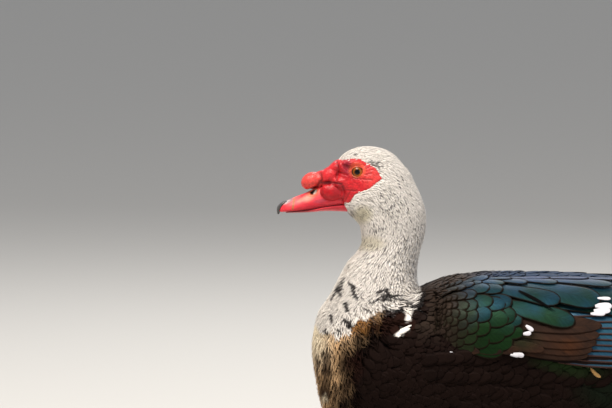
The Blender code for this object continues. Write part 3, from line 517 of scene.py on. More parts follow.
def scatter(place, spans, spacing, wanted, seed, tries):
    """Roots spread evenly over a surface, by throwing points and keeping those clear of the rest."""
    chance = np.random.default_rng(seed)
    along = chance.uniform(*spans[0], tries)
    across = chance.uniform(*spans[1], tries)
    step = 1e-4
    ahead = place(along + step, across) - place(along, across)
    aside = place(along, across + step * 10) - place(along, across)
    area = np.linalg.norm(np.cross(ahead, aside), axis=1)
    places = place(along, across)
    kept = (chance.uniform(0, 1, tries) * area.max() * 0.8 < area) & wanted(places, along, across)
    along, across, places = along[kept], across[kept], places[kept]
    tree = KDTree(len(places))
    for i, p in enumerate(places):
        tree.insert(p, i)
    tree.balance()
    free, roots = np.ones(len(places), bool), []
    for i, p in enumerate(places):
        if free[i]:
            roots.append(i)
            for _, j, _ in tree.find_range(p, spacing):
                free[j] = False
    return np.stack([along[roots], across[roots]], axis=1)


def rounded(share, root=0.5, widest=0.55):
    """A vane's width along it: narrow root, widest part, round tip."""
    share = np.asarray(share)
    front = root + (1 - root) * np.sin(clamp(share / widest) * np.pi / 2)
    tip = np.sqrt(np.clip(1 - clamp((share - widest) / (1 - widest)) ** 2, 0.012, 1))
    return front * tip


def tapered(root, widest):
    """The same shape for another root and widest part."""
    return lambda share: rounded(share, root, widest)


def pointed(share):
    """A tuft's width along it: narrow root, widest part, fine tip."""
    share = np.asarray(share)
    front = 0.6 + 0.4 * clamp(share / 0.35)
    return front * np.clip(1 - clamp((share - 0.35) / 0.65) ** 1.6, 0.06, 1)


def vane_rings(spine, outward, half, crown, thickness, section, roll=0.0):
    """Rings of thin vanes along their shafts, crowned across and rolled to one side, as tubes takes them."""
    ahead = unit(np.gradient(spine, axis=1))
    aside = unit(np.cross(outward, ahead))
    above = np.cross(ahead, aside)
    across, face = np.array(section).T
    arch = 1 - across**2
    bulge = half[..., None] * (crown * arch + roll * across) + face * thickness * arch * 0.5
    return (
        spine[:, :, None]
        + aside[:, :, None] * (half[..., None] * across)[..., None]
        + above[:, :, None] * bulge[..., None]
    )


def feathers(
    name, place, sign, start, end, half, material, hue, sink, lift, patch=TUFT_PATCH, unwrap=None, bend=0.0,
    steps=FEATHER_STEPS, shape=rounded, crown=0.12, thickness=0.0005, section=VANE, rim=0.6, seed=1,
    vary=0.12, own=0.4, tones=None, slope=None, roll=0.0
):
    """Feathers from root to tip on a surface: root sunk, tip lifted, coloured by hue at their own places."""
    chance = np.random.default_rng(seed)
    start, end, half = np.asarray(start, float), np.asarray(end, float), np.asarray(half, float)
    share = np.asarray(steps)
    count = len(start)
    line = start[:, None] + (end - start)[:, None] * share[None, :, None]
    line[..., 1] += np.broadcast_to(bend, (count,))[:, None] * 4 * share * (1 - share)
    points, outward, _ = surface_frame(place, line[..., 0], line[..., 1], sign)
    sink, lift = np.broadcast_to(sink, (count,))[:, None], np.broadcast_to(lift, (count,))[:, None]
    rising = sink + (lift - sink) * share**0.8
    if slope is not None:
        rising = lift - slope * (1 - share) + (sink + slope) * (1 - share) ** 4
    spine = points + outward * rising[..., None]
    widths = half[:, None] * shape(share)
    rings = vane_rings(spine, outward, widths, crown, thickness, section, roll)
    across = np.array(section)[:, 0]
    middle = spine[:, len(share) // 2][:, None, None]
    colours = hue(rings * (1 - own) + middle * own)
    colours = colours * (1 + chance.uniform(-vary, vary, (count, 1, 1, 1)))
    if tones is not None:
        colours = mix(colours, tones[0], np.broadcast_to(tones[1][:, None, None], colours.shape[:3]))
    reach = np.linalg.norm(np.diff(spine, axis=1), axis=2).sum(1)
    vane = np.stack(
        np.broadcast_arrays(widths[..., None] * across, ((1 - share) * reach[:, None])[..., None]), axis=-1
    )
    root = (unwrap or on_body)(start)
    bake = root[:, None, None] + patch * np.stack(
        np.broadcast_arrays(across[None, None] / 2, share[None, :, None] - 0.5, np.ones((count, 1, 1)))[:2],
        axis=-1
    )
    return tubes(
        name,
        rings,
        material,
        values={
            "Tint": colours,
            "Half": np.broadcast_to(widths[..., None], rings.shape[:3]),
            "Rim": np.broadcast_to(np.broadcast_to(rim, (count,))[:, None, None], rings.shape[:3]),
        },
        maps={"Vane": vane, "OFBake": bake},
    )


def on_body(roots):
    """Roots on an unwrap of the bird's own skin: round it, and along it."""
    return np.stack(
        [0.02 + 0.96 * (roots[:, 1] / (2 * np.pi)) % 1, 0.02 + 0.96 * roots[:, 0] / body_length], axis=1
    )


def laid_back(roots, lengths, sway):
    """Where feathers of these lengths end on the body, lying back along it with a little sway."""
    _, _, pace = surface_frame(body_place, roots[:, 0], roots[:, 1])
    ends = roots.copy()
    ends[:, 0] += lengths / pace
    ends[:, 1] += sway
    return ends


def vane_material(
    name, roughness, streak, sheen, rim_shade, rim_width=0.0009, shaft=0.0, gloss=0.35, metal=0.0, bump=0.5,
    painted=False
):
    """A feather: colour from Tint, fine barbs slanting from the shaft, a shaft line and worn rims."""
    material, tree, shader = blank(
        name, Roughness=roughness, Specular_IOR_Level=gloss, Metallic=metal, Sheen_Weight=sheen,
        Sheen_Roughness=0.5
    )
    vane = add(tree, "ShaderNodeUVMap", {"uv_map": "Vane"})
    parts = add(tree, "ShaderNodeSeparateXYZ", Vector=vane.outputs[0])
    away = add(tree, "ShaderNodeMath", {"operation": "ABSOLUTE"}, i0=parts.outputs["X"])
    half = add(tree, "ShaderNodeAttribute", {"attribute_name": "Half"})
    side = add(tree, "ShaderNodeMath", {"operation": "SUBTRACT"}, i0=half.outputs["Fac"], i1=away.outputs[0])
    nearest = add(tree, "ShaderNodeMath", {"operation": "MINIMUM"}, i0=side.outputs[0], i1=parts.outputs["Y"])
    rim = add(
        tree, "ShaderNodeMapRange", Value=nearest.outputs[0], From_Min=rim_width * 0.45, From_Max=rim_width,
        To_Min=1.0, To_Max=0.0
    )
    wear = add(tree, "ShaderNodeAttribute", {"attribute_name": "Rim"}).outputs["Fac"]
    amount = add(tree, "ShaderNodeMath", {"operation": "MULTIPLY"}, i0=rim.outputs[0], i1=wear)
    slant = add(
        tree, "ShaderNodeMath", {"operation": "MULTIPLY_ADD"}, i0=away.outputs[0], i1=1.1,
        i2=parts.outputs["Y"]
    )
    # Barbs are 0.3 mm apart on the real feather, drawn about 1.5 mm apart so that they show.
    narrowed = add(tree, "ShaderNodeMath", {"operation": "MULTIPLY"}, i0=away.outputs[0], i1=0.12)
    barb = add(tree, "ShaderNodeCombineXYZ", X=slant.outputs[0], Y=narrowed.outputs[0])
    barbs = add(tree, "ShaderNodeTexNoise", Vector=barb.outputs[0], Scale=620.0, Detail=3.0, Roughness=0.65)
    light = add(
        tree, "ShaderNodeMapRange", Value=barbs.outputs["Fac"], From_Min=0.25, From_Max=0.75,
        To_Min=1 - streak, To_Max=1 + streak
    )
    streaked = add(tree, "ShaderNodeMix", DARKEN, i0=1.0, i6=painted_tint(tree), i7=light.outputs[0])
    worn = rim_shade
    if not painted:
        worn = add(tree, "ShaderNodeMix", DARKEN, i0=1.0, i6=streaked.outputs[2], i7=rim_shade).outputs[2]
    edged = add(
        tree, "ShaderNodeMix", {"data_type": "RGBA"}, i0=amount.outputs[0], i6=streaked.outputs[2], i7=worn
    )
    last = edged.outputs[2]
    if shaft:
        keel = add(
            tree, "ShaderNodeMapRange", Value=away.outputs[0], From_Max=0.0006, To_Min=shaft, To_Max=0.0
        )
        last = add(
            tree, "ShaderNodeMix", {"data_type": "RGBA"}, i0=keel.outputs[0], i6=last, i7=linear("#0E0A08")
        ).outputs[2]
    tree.links.new(last, shader.inputs["Base Color"])
    relief(tree, shader, barbs.outputs["Fac"], bump, 0.0004)
    if painted:
        dull = add(tree, "ShaderNodeMapRange", Value=amount.outputs[0], To_Min=roughness, To_Max=0.9)
        tree.links.new(dull.outputs[0], shader.inputs["Roughness"])
        bare_rim = add(tree, "ShaderNodeMapRange", Value=amount.outputs[0], To_Min=metal, To_Max=0.0)
        tree.links.new(bare_rim.outputs[0], shader.inputs["Metallic"])
    return material


# White contour feathers: matt keratin barbs that scatter light, so soft shading with fine streaks.
white_feather = vane_material("white_contour_feather", 0.8, 0.06, 0.1, linear("#E6E0D4"), gloss=0.1, bump=0.2)

FLECKS = [  # where dark tufts are strewn: middle, half sizes, tilt, share of tufts
    ((389, 202), (13, 14), 0, 0.30), ((376, 229), (10, 4), 10, 0.30), ((406, 245), (8, 8), 0, 0.24),
    ((392, 222), (22, 42), 10, 0.04), ((374, 164), (8, 3.0), 14, 0.6), ((353.5, 156), (2.4, 1.6), -50, 0.8),
    ((348, 214), (4.5, 3.5), 30, 0.6), ((392, 262), (24, 26), 0, 0.05), ((404, 195), (6, 30), -14, 0.10),
    ((370, 246), (11, 8), 0, 0.16), ((362, 205), (12, 10), 0, 0.05),
]
NAPE_CREST = ((413, 173), (4, 5), 0, 0.8)  # a few that stand up at the nape


def fleck_share(places):
    """How many of the tufts at a place are dark."""
    right, down = seen(places)
    share = np.zeros(right.shape)
    for middle, size, tilt, amount in FLECKS:
        share = np.maximum(share, amount * blot(right, down, middle, size, tilt, 0.5))
    return share


def tufts(name, wanted, span, spacing, length, half, tries, seed, relief, ruffle):
    """Fine white tufts over part of head or neck."""
    chance = np.random.default_rng(seed)
    roots = scatter(body_place, (span, (0, 2 * np.pi)), spacing, wanted, seed, tries)
    count = len(roots)
    lengths = length * chance.uniform(0.8, 1.2, count)
    ends = laid_back(roots, lengths, chance.normal(0, 0.03, count))
    dark = chance.uniform(0, 1, count) < fleck_share(body_place(roots[:, 0], roots[:, 1]))
    standing = 0.0016 * blot(*seen(body_place(ends[:, 0], ends[:, 1])), *NAPE_CREST)
    return feathers(
        name, body_place, 1, roots, ends, half * chance.uniform(0.8, 1.2, count), white_feather, body_tint,
        -coat_depth(roots[:, 0]), np.where(dark, 0.0003, 0.0) + chance.normal(0, ruffle, count) + standing,
        steps=TUFT_STEPS, shape=pointed, crown=relief, thickness=0.0002, section=LANCE, rim=0.15, seed=seed,
        vary=0.06, tones=(DARK, dark * chance.uniform(0.35, 0.85, count))
    )


def feathered(places, along, across):
    """Head skin that bears feathers: not the bare face, and not inside the bill."""
    ragged = 0.0007 * np.sin(places[:, 0] * 2900 + 2 * np.sin(places[:, 2] * 1700))
    uneven = 0.0007 * np.cos(places[:, 0] * 2300)
    bare = inside(places[:, 0] + ragged, places[:, 2] + uneven, grown(FACE_EDGE, -0.0009))
    level = (places[:, 2] > 0.3330) & (places[:, 2] < 0.3440)
    return ~bare & ~(level & (places[:, 0] > 0.2400) & (np.abs(places[:, 1]) < 0.010))


crown_tufts = tufts(
    "crown_tufts", feathered, (0.0, 0.098), 0.00122, 0.0038, 0.00070, 150000, 11, 0.05, 0.00005
)
neck_tufts = tufts(
    "neck_tufts", feathered, (0.098, 0.170), 0.00150, 0.0062, 0.00092, 110000, 12, 0.06, 0.00012
)
for coat in (crown_tufts, neck_tufts):
    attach(coat, "root")

# The small body feathers: soft round vanes in overlapping ranks over breast, back, belly and thighs,
# white and barred at the foot of the neck, loose and tan on the chest, brown-black elsewhere.

# Melanin-dark barbs with a faint gloss, so the ranks show as soft arcs; rims a little darker.
dark_vane = vane_material(
    "dark_body_feather", 0.75, 0.24, 0.0, linear("#8A7A6C"), 0.0012, gloss=0.03, bump=0.25
)
# The same on the back under a thin clear film, which gives a violet and blue gloss.
back_vane = vane_material(
    "violet_back_feather", 0.5, 0.2, 0.0, linear("#6E6258"), 0.0014, gloss=0.02, metal=0.04
)


def tract(
    name, wanted, span, spacing, length, half, material, tries, seed, lift=0.0, rim=0.6,
    steps=FEATHER_STEPS, shape=rounded, section=VANE, sway=0.05, crown=0.14, vary=0.12, own=0.4, slope=None,
    ruffle=0.0002
):
    """One tract of body feathers, all of a kind."""
    chance = np.random.default_rng(seed)
    roots = scatter(body_place, (span, (0, 2 * np.pi)), spacing, wanted, seed, tries)
    count = len(roots)
    lengths = length * chance.uniform(0.88, 1.12, count)
    ends = laid_back(roots, lengths, chance.normal(0, sway, count))
    ends[:, 0] = np.minimum(ends[:, 0], body_length - 0.0005)
    piece = feathers(
        name, body_place, 1, roots, ends, half * chance.uniform(0.9, 1.1, count), material, body_tint,
        -coat_depth(roots[:, 0]), lift + chance.normal(0, ruffle, count), steps=steps, shape=shape,
        crown=crown, thickness=0.0003, section=section, rim=rim, seed=seed, vary=vary, own=own, slope=slope
    )
    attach(piece, "root")
    return piece


def where(test):
    """A region picked by how it shows from the side."""
    return lambda places, along, across: test(*seen(places), places)


def white_part(right, down, places):
    """The white of the neck's foot."""
    return (down < np.interp(right, *np.array(WHITE_EDGE).T) + 3) & (places[:, 0] > 0.155)


def chest_part(right, down, places):
    """The tan of the chest."""
    return ~white_part(right, down, places) & (right < chest_edge(down) + 8) & (down < 456)


def mantle_part(right, down, places):
    """The upper back, between the wings."""
    return (places[:, 2] > 0.236) & (right > 414) & ~white_part(right, down, places)


def dark_part(right, down, places):
    """The dark breast, flanks and belly."""
    pale = white_part(right, down, places) | chest_part(right, down, places)
    return ~pale & ~mantle_part(right, down, places)


def breast_part(right, down, places):
    """The front of the dark part, in smaller feathers."""
    return dark_part(right, down, places) & (right < 455)


def flank_part(right, down, places):
    """The rest of the dark part, lapping a little over the breast's feathers."""
    return dark_part(right, down, places) & (right >= 449)


bib = tract(
    "neck_base_feathers", where(white_part), (0.166, 0.30), 0.0017, 0.0085, 0.0011, white_feather, 150000,
    21, steps=TUFT_STEPS, shape=pointed, section=LANCE, sway=0.07, vary=0.07, rim=0.15, own=0.85,
    crown=0.11, ruffle=0.0003
)
chest = tract(
    "chest_feathers", where(chest_part), (0.14, 0.42), 0.0021, 0.0125, 0.0015, dark_vane, 150000, 22,
    steps=TUFT_STEPS, shape=pointed, section=LANCE, sway=0.09, vary=0.13, rim=0.2, own=0.7, crown=0.10,
    ruffle=0.0004, lift=0.0012
)
breast = tract(
    "breast_feathers", where(breast_part), (0.16, 0.42), 0.0046, 0.0200, 0.0056, dark_vane, 120000, 26,
    crown=0.0, rim=0.15, slope=0.0005, sway=0.06, vary=0.09, ruffle=0.00003
)
flank = tract(
    "flank_feathers", where(flank_part), (0.16, body_length - 0.006), 0.0064, 0.0260, 0.0082, dark_vane,
    90000, 23, crown=0.0, rim=0.3, slope=0.0007, sway=0.05, vary=0.12, ruffle=0.00004
)
mantle = tract(
    "mantle_feathers", where(mantle_part), (0.16, 0.30), 0.0042, 0.0120, 0.0050, back_vane, 60000, 24,
    rim=1.0, lift=0.0003, crown=0.03, slope=0.0010
)
back = tract(
    "back_feathers", where(mantle_part), (0.30, body_length - 0.006), 0.0075, 0.0260, 0.0095, back_vane,
    30000, 25, rim=0.9, crown=0.04, slope=0.0016
)

# The white feathers strewn at the shoulder: two of the breast's own kind on each side that grew
# without pigment, lying over the dark ones.

SIDES = (("left", 1), ("right", -1))
# The two roots as seen, then the two tips.
SHOULDER_SPOTS = (((393, 335), (396, 331)), ((409, 328), (411, 325)))


def on_side(marks):
    """Body places of points as seen from the left side, right and down in millimetres."""
    distance, turn = np.meshgrid(
        np.linspace(0.15, body_length, 420), np.linspace(0.1, np.pi - 0.1, 260), indexing="ij"
    )
    right, down = seen(body_place(distance, turn))
    nearest = [np.argmin((right - u) ** 2 + (down - v) ** 2) for u, v in marks]
    return np.stack([distance.ravel()[nearest], turn.ravel()[nearest]], axis=1)


def plain(colour):
    """The same colour at every point."""
    return lambda places: np.broadcast_to(colour, places.shape)


for side, sign in SIDES:
    start, end = (on_side(marks) * (1, sign) for marks in SHOULDER_SPOTS)
    spot = feathers(
        "white_shoulder_feathers_" + side, body_place, 1, start, end, np.array([0.0020, 0.0014]),
        white_feather, plain(WHITE), -0.0008, 0.0010, rim=0.1, seed=35
    )
    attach(spot, "root")

# The feathers of the thighs: small soft dark ones, rooted in the thigh's skin and lapping down to the
# hock, where the bare shank begins.

THIGH_COAT = 0.0042  # how far the feathers' outside stands off the thigh's flesh
THIGH_SPACING, THIGH_LENGTH, THIGH_HALF = 0.0036, 0.011, 0.0036


def limb_place(start, hip, radii):
    """A surface round a limb: distance from the lower end, and turn round it."""
    ahead = unit(hip - start)
    aside = unit(np.cross(ahead, (0.0, 1.0, 0.0)))
    above = np.cross(ahead, aside)
    full = np.linalg.norm(hip - start)

    def place(distance, turn):
        distance, turn = np.broadcast_arrays(distance, turn)
        radius = hermite(THIGH_SHARES, np.array(radii)[:, None], distance / full)[..., 0] + THIGH_COAT
        spoke = aside * np.cos(turn)[..., None] + above * np.sin(turn)[..., None]
        return start + ahead * distance[..., None] + spoke * radius[..., None]

    return place


def thigh_unwrap(full):
    """Roots on an unwrap of a thigh of that length: round it, and up it."""
    return lambda roots: np.stack(
        [0.02 + 0.96 * (roots[:, 1] / (2 * np.pi)) % 1, 0.02 + 0.9 * roots[:, 0] / full], 1
    )


for side, (start, hip) in thigh_lines.items():
    place = limb_place(start, hip, THIGH_RADII)
    full = float(np.linalg.norm(hip - start))
    spans = (0.004, full * 0.9), (0, 2 * np.pi)
    roots = scatter(place, spans, THIGH_SPACING, lambda places, along, turn: along > 0, 31, 9000)
    ends = roots - np.array([THIGH_LENGTH, 0.0])
    ends[:, 0] = np.maximum(ends[:, 0], 0.0)
    chance = np.random.default_rng(32)
    ends[:, 1] += chance.normal(0, 0.12, len(ends))
    thigh = feathers(
        "thigh_feathers_" + side, place, 1, roots, ends, np.full(len(roots), THIGH_HALF), dark_vane,
        body_tint, -0.0045, 0.0002, seed=33, crown=0.02, slope=0.0006, rim=0.3, vary=0.1,
        unwrap=thigh_unwrap(full)
    )
    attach(thigh, "root")

# The folded wings begin with the arm: bone and muscle in thin skin, flat against the flank, with
# elbow and wrist hidden. The quills of the next sections stand in sockets along its rear edge.

WING_SECTIONS = [  # x, top edge y and z, low edge y and z, swell between them, thickness of the arm
    (0.1500, 0.0440, 0.2585, 0.0800, 0.2120, 0.0130, 0.0180),
    (0.1150, 0.0430, 0.2670, 0.0900, 0.2050, 0.0145, 0.0220),
    (0.0600, 0.0390, 0.2695, 0.0960, 0.2030, 0.0145, 0.0240),
    (0.0000, 0.0340, 0.2690, 0.0960, 0.2010, 0.0145, 0.0240),
    (-0.0600, 0.0280, 0.2655, 0.0880, 0.2030, 0.0130, 0.0160),
    (-0.1150, 0.0220, 0.2600, 0.0690, 0.2130, 0.0095, 0.0070),
    (-0.1700, 0.0160, 0.2525, 0.0450, 0.2280, 0.0060, 0.0040),
    (-0.2250, 0.0090, 0.2440, 0.0250, 0.2330, 0.0030, 0.0030),
]
WING_FRONT = 0.1500
WING_LENGTH = 0.375
ARM_END = 0.262
ARM_SINK = 0.0052  # how far the arm lies under the feathers' outside
ARM_EDGE = 0.0006  # how thick it is at its edges
COVERT_BROWN = tone("#2A1D16")
wing_table = np.array(WING_SECTIONS)


def wing_surface(side):
    """The folded wing's outside: distance back from its front, and level from top edge to low edge."""

    def place(back, level):
        back, level = np.broadcast_arrays(back, level)
        row = hermite(WING_FRONT - wing_table[:, 0], wing_table[:, 1:], back)
        top, fall = row[..., 0:2], row[..., 2:4] - row[..., 0:2]
        out = unit(np.stack([-fall[..., 1], fall[..., 0]], axis=-1))
        flat = top + fall * level[..., None] + out * (4 * level * (1 - level) * row[..., 4])[..., None]
        return np.stack([WING_FRONT - back, side * flat[..., 0], flat[..., 1]], axis=-1)

    return place


for side, sign in SIDES:
    backs = np.linspace(0.0005, ARM_END, 70)
    levels = np.linspace(0.0, 1.0, 26)
    flat_back, flat_level = np.meshgrid(backs, levels, indexing="ij")
    outside, outward, _ = surface_frame(wing_surface(sign), flat_back, flat_level, sign)
    thick = np.interp(flat_back, WING_FRONT - wing_table[:, 0], wing_table[:, 6])[..., None]
    rim = (np.sin(flat_level * np.pi) ** 0.4)[..., None]
    outer = outside - outward * ARM_SINK
    inner = outside - outward * (ARM_SINK + ARM_EDGE + thick * rim)
    arm = tubes("wing_arm_" + side, np.concatenate([outer, inner[:, ::-1]], axis=1)[None], skin_material)
    paint(arm, mix(FLANK, COVERT_BROWN, 0.5))
    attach(arm, "root")
    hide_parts("wing_" + side)

# The primaries: the nine long slate-brown quills of the hand, stacked like a closed fan. Each shows
# a strip of its outer vane, and their tips reach past the rump.

PRIMARIES = 9
PRIMARY_BACKS = (0.215, 0.200, 0.373, 0.325)  # the lowest and highest root, then the lowest and highest tip
PRIMARY_LEVELS = (0.84, 0.50, 0.80, 0.46)
SLATE = tone("#131213")
BROAD_VANE = (
    (-1.0, 0), (-0.82, 1), (-0.4, 1), (0.0, 1), (0.4, 1), (0.82, 1), (1.0, 0), (0.4, -1), (0.0, -1),
    (-0.4, -1)
)
QUILL_STEPS = (0.0, 0.12, 0.25, 0.4, 0.55, 0.68, 0.79, 0.87, 0.93, 0.97, 1.0)
QUILL_PATCH = 0.020  # how wide one quill is on the map OFBake

# Brown quill feathers: dull keratin stained by melanin, streaked along the barbs, with a darker rim.
quill_vane = vane_material(
    "brown_quill_feather", 0.6, 0.34, 0.0, linear("#21160F"), 0.0014, shaft=0.4, gloss=0.05, painted=True
)


def wing_unwrap(roots):
    """Roots on a flat unwrap of the wing."""
    return np.stack([0.03 + 0.90 * roots[:, 0] / WING_LENGTH, 0.06 + 0.86 * roots[:, 1]], axis=1)


def flat_hue(colour, warm):
    """One pigment colour, turning to a second one in patches."""

    def hue(places):
        right, down = seen(places)
        patch = 0.5 + 0.5 * np.sin(right / 9.0 + 2.0) * np.sin(down / 6.0)
        return mix(colour, warm, 0.5 * patch)

    return hue


def wing_rank(name, start, end, half, finish, hue, sink, lift, roll=0.0, **form):
    """One rank of feathers, the same on both folded wings."""
    for side, sign in SIDES:
        rank = feathers(
            name + "_" + side, wing_surface(sign), sign, start, end, half, finish, hue, sink, lift,
            roll=roll * sign, unwrap=wing_unwrap, patch=QUILL_PATCH, section=BROAD_VANE, steps=QUILL_STEPS,
            **form
        )
        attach(rank, "root")


share = np.linspace(0, 1, PRIMARIES)
start = np.stack(
    [np.interp(share, [0, 1], PRIMARY_BACKS[:2]), np.interp(share, [0, 1], PRIMARY_LEVELS[:2])], 1
)
end = np.stack([np.interp(share, [0, 1], PRIMARY_BACKS[2:]), np.interp(share, [0, 1], PRIMARY_LEVELS[2:])], 1)
wing_rank(
    "primaries", start, end, np.full(PRIMARIES, 0.0100), quill_vane, flat_hue(SLATE, FLANK), -0.0046,
    -0.0044 + 0.0010 * share, seed=41, rim=1.0, vary=0.22, crown=0.03, roll=-0.10,
)

# The speculum: eleven secondaries whose outer vanes shine blue, parted by dull brown rims. They are
# tilted like the slats of a blind, so that each one's edge lies on the next.

SECONDARIES = 11
SPECULUM_ROOTS = ((556.0, 556.0), (358, 306))  # as seen, lowest and highest: right, down
SPECULUM_TIPS = ((676, 722), (352, 296))
SPECULUM, BLUE = tone("#1D4454"), tone("#14324A")

# The speculum's barbs carry the clear film that shines; its rims lack it, so they stay matt brown.
stripe_vane = vane_material(
    "speculum_feather", 0.38, 0.20, 0.0, linear("#3A2620"), 0.0026, gloss=0.12, metal=0.2, painted=True
)


def on_wing(marks):
    """Wing places of points as seen from the side, right and down in millimetres."""
    marks = np.asarray(marks, float)
    back = marks[:, 0] / 1000 - (SIGHT_RIGHT / 1000 - WING_FRONT)
    levels = np.linspace(-0.08, 1.10, 120)
    _, down = sighted(wing_surface(1)(back[:, None], levels[None]))
    return np.stack([back, [np.interp(d, row, levels) for d, row in zip(marks[:, 1], down)]], axis=1)


share = np.linspace(0, 1, SECONDARIES)
start, end = (
    on_wing(np.stack([np.interp(share, [0, 1], right), np.interp(share, [0, 1], down)], 1))
    for right, down in (SPECULUM_ROOTS, SPECULUM_TIPS)
)
wing_rank(
    "speculum", start, end, np.full(SECONDARIES, 0.0078), stripe_vane, flat_hue(SPECULUM, BLUE), -0.0048,
    -0.0042 + 0.0018 * share, seed=42, rim=1.0, vary=0.10, crown=0.02, roll=-0.14,
)

# The lower edge: the two outermost quills, dark and narrow, rooted in the hand's edge. They close the
# wing along the flank.

LOWER_EDGE = [((528, 354), (668, 357), 6.0, -2.6), ((528, 350), (640, 355), 6.0, -3.0)]


def laid(rows):
    """Roots, tips, half widths and heights of feathers listed as seen from the side, in millimetres."""
    start = on_wing([row[0] for row in rows])
    end = on_wing([row[1] for row in rows])
    return start, end, np.array([row[2] for row in rows]) / 1000, np.array([row[3] for row in rows]) / 1000


start, end, half, height = laid(LOWER_EDGE)
wing_rank(
    "lower_edge", start, end, half, dark_vane, flat_hue(FLANK, SLATE), -0.0046, height - 0.0008, seed=43,
    crown=0.02
)

# The greater coverts: broad brown feathers without gloss over the roots of the speculum, five wide
# ones above one another and four small ones along the low edge.

BROWN_FEATHERS = [  # root and tip as seen, half width, height over the wing's outside
    ((519, 350), (585.5, 354.5), 6.6, -2.1), ((515, 343), (590, 348.5), 8.5, -1.9),
    ((512, 337), (594, 341.5), 9.0, -1.7), ((510, 330), (597, 334), 9.0, -1.5),
    ((508, 322), (599.5, 324.5), 10.0, -1.3), ((446, 344), (478, 351), 4.6, -0.9),
    ((462, 344), (500, 351), 5.0, -0.8), ((480, 344), (520, 351), 5.2, -0.7),
    ((498, 342), (542, 349), 5.6, -0.6),
]
RUST_PATCH = ((567, 345), (9, 8), 0, 0.9)
GREEN_PATCH = ((522, 338), (12, 10), 0, 0.9)
RUST, GREEN = tone("#482814"), tone("#152A14")


def mottled_hue(places):
    """The brown of the greater coverts: clouded darker, with a rusty patch behind the middle."""
    right, down = seen(places)
    ripple = np.sin(right / 3.9 + 2.2 * np.sin(down / 4.3)) * np.sin(down / 2.9 + 1.6 * np.sin(right / 6.1))
    cloud = 0.5 + 0.5 * ripple
    colour = mix(COVERT_BROWN, FLANK, 0.6 * cloud)
    colour = mix(colour, RUST, 0.5 * blot(right, down, *RUST_PATCH) + 0.2 * (1 - cloud))
    return mix(colour, GREEN, 0.35 * blot(right, down, *GREEN_PATCH))


start, end, half, height = laid(BROWN_FEATHERS)
wing_rank(
    "brown_coverts", start, end, half, quill_vane, mottled_hue, height - 0.0016, height + 0.0004, seed=44,
    vary=0.10, crown=0.0, rim=0.06, own=0.05, thickness=0.0002,
)

# The tertials and scapulars: the broadest, glossiest feathers, which close over the folded wing from
# the shoulder back. Where two of them part, a thin black feather lies as painted shadow along the slit.

GLOSS_FEATHERS = [  # root and tip as seen, half width, height over the wing: the large ones, lowest first
    ((552, 300), (700, 309), 14.0, -1.6), ((556, 292), (722, 300), 15.0, -1.3),
    ((560, 286), (742, 290), 15.0, -1.0), ((565, 280), (750, 281), 14.0, -0.7),
    ((556, 276), (700, 277), 9.0, -0.4), ((484, 300), (573, 322), 11.5, -0.4),
    ((506, 284), (599, 301), 16.5, 0.0), ((484, 285.5), (558.5, 301.5), 12.0, 0.5),
    ((536, 278), (612, 285), 9.0, 0.7), ((504, 277), (557, 283), 7.4, 0.9),
    ((484, 278), (527, 283), 7.0, 0.9), ((464, 279), (504, 284), 6.4, 0.9),
    ((446, 281), (482, 283), 6.0, 0.8), ((536, 277), (588, 279), 5.2, 1.0),
    ((500, 277), (550, 278.5), 5.0, 1.0), ((466, 278), (512, 279), 4.8, 1.0),
    ((440, 280), (474, 281), 4.6, 1.0), ((576, 277), (640, 281), 5.6, 0.9),
    ((625, 280), (690, 284), 6.6, 0.4), ((670, 284), (735, 289), 7.6, -0.2),
]
SLIT = [((517, 291.5), (553.5, 312.0), 2.1, 1.7)]
TEAL, VIOLET_GLOSS_AND_SKY_REFLECTION, SCALE_BROWN, SLIT_SHADOW_BLACK = tone("#10292A"), tone("#1F2746"), tone("#2C231D"), tone("#040303")

# Iridescent feathers: dark melanin under a thin clear film of keratin, so they mirror blue and green
# light softly. A little metal gives the tinted gloss; the rims are dull brown, about 1.5 mm wide.
gloss_vane = vane_material(
    "iridescent_feather", 0.42, 0.34, 0.0, linear("#1A130D"), 0.0025, shaft=0.35, gloss=0.03, metal=0.35,
    painted=True
)


def wing_hue(places):
    """Wing gloss: violet on top with a painted sky reflection, blue, teal, green low down; brown in front."""
    right, down = seen(places)
    wave = 0.5 + 0.5 * np.sin(right / 7.3 + down / 5.1)
    colour = mix(GREEN, TEAL, clamp((326 - down) / 26))
    colour = mix(colour, BLUE, clamp((297 - down) / 18) * (0.45 + 0.55 * wave))
    colour = mix(colour, BLUE, 0.35 * clamp(2 * wave - 0.9) * clamp((334 - down) / 20))
    colour = mix(colour, GREEN, 0.35 * clamp(np.sin(right / 4.1 - down / 6.3) * 2 - 0.6))
    # The violet along the top is the feathers' own gloss and a painted reflection of the sky.
    colour = mix(colour, VIOLET_GLOSS_AND_SKY_REFLECTION, clamp((283 - down) / 8) * clamp((right - 480) / 50))
    return mix(colour, SCALE_BROWN, clamp((482 - right) / 34) * (0.75 + 0.25 * wave))


start, end, half, height = laid(GLOSS_FEATHERS)
wing_rank(
    "tertials_and_scapulars", start, end, half, gloss_vane, wing_hue, height - 0.0024, height, seed=45,
    rim=0.95, vary=0.14, crown=0.07, own=0.15, shape=tapered(0.6, 0.78),
)
# The slit's black feather is painted shadow, where two scapulars part.
start, end, half, height = laid(SLIT)
wing_rank(
    "scapular_shade", start, end, half, dark_vane, plain(SLIT_SHADOW_BLACK), height, height, seed=49, rim=0.0,
    vary=0.0, crown=0.0, thickness=0.0002, shape=pointed
)

# The lesser coverts: eleven ranks of round scale-like feathers that grow in size from the wrist back,
# each covering the roots of the rank behind it, brown in front and green and blue behind.

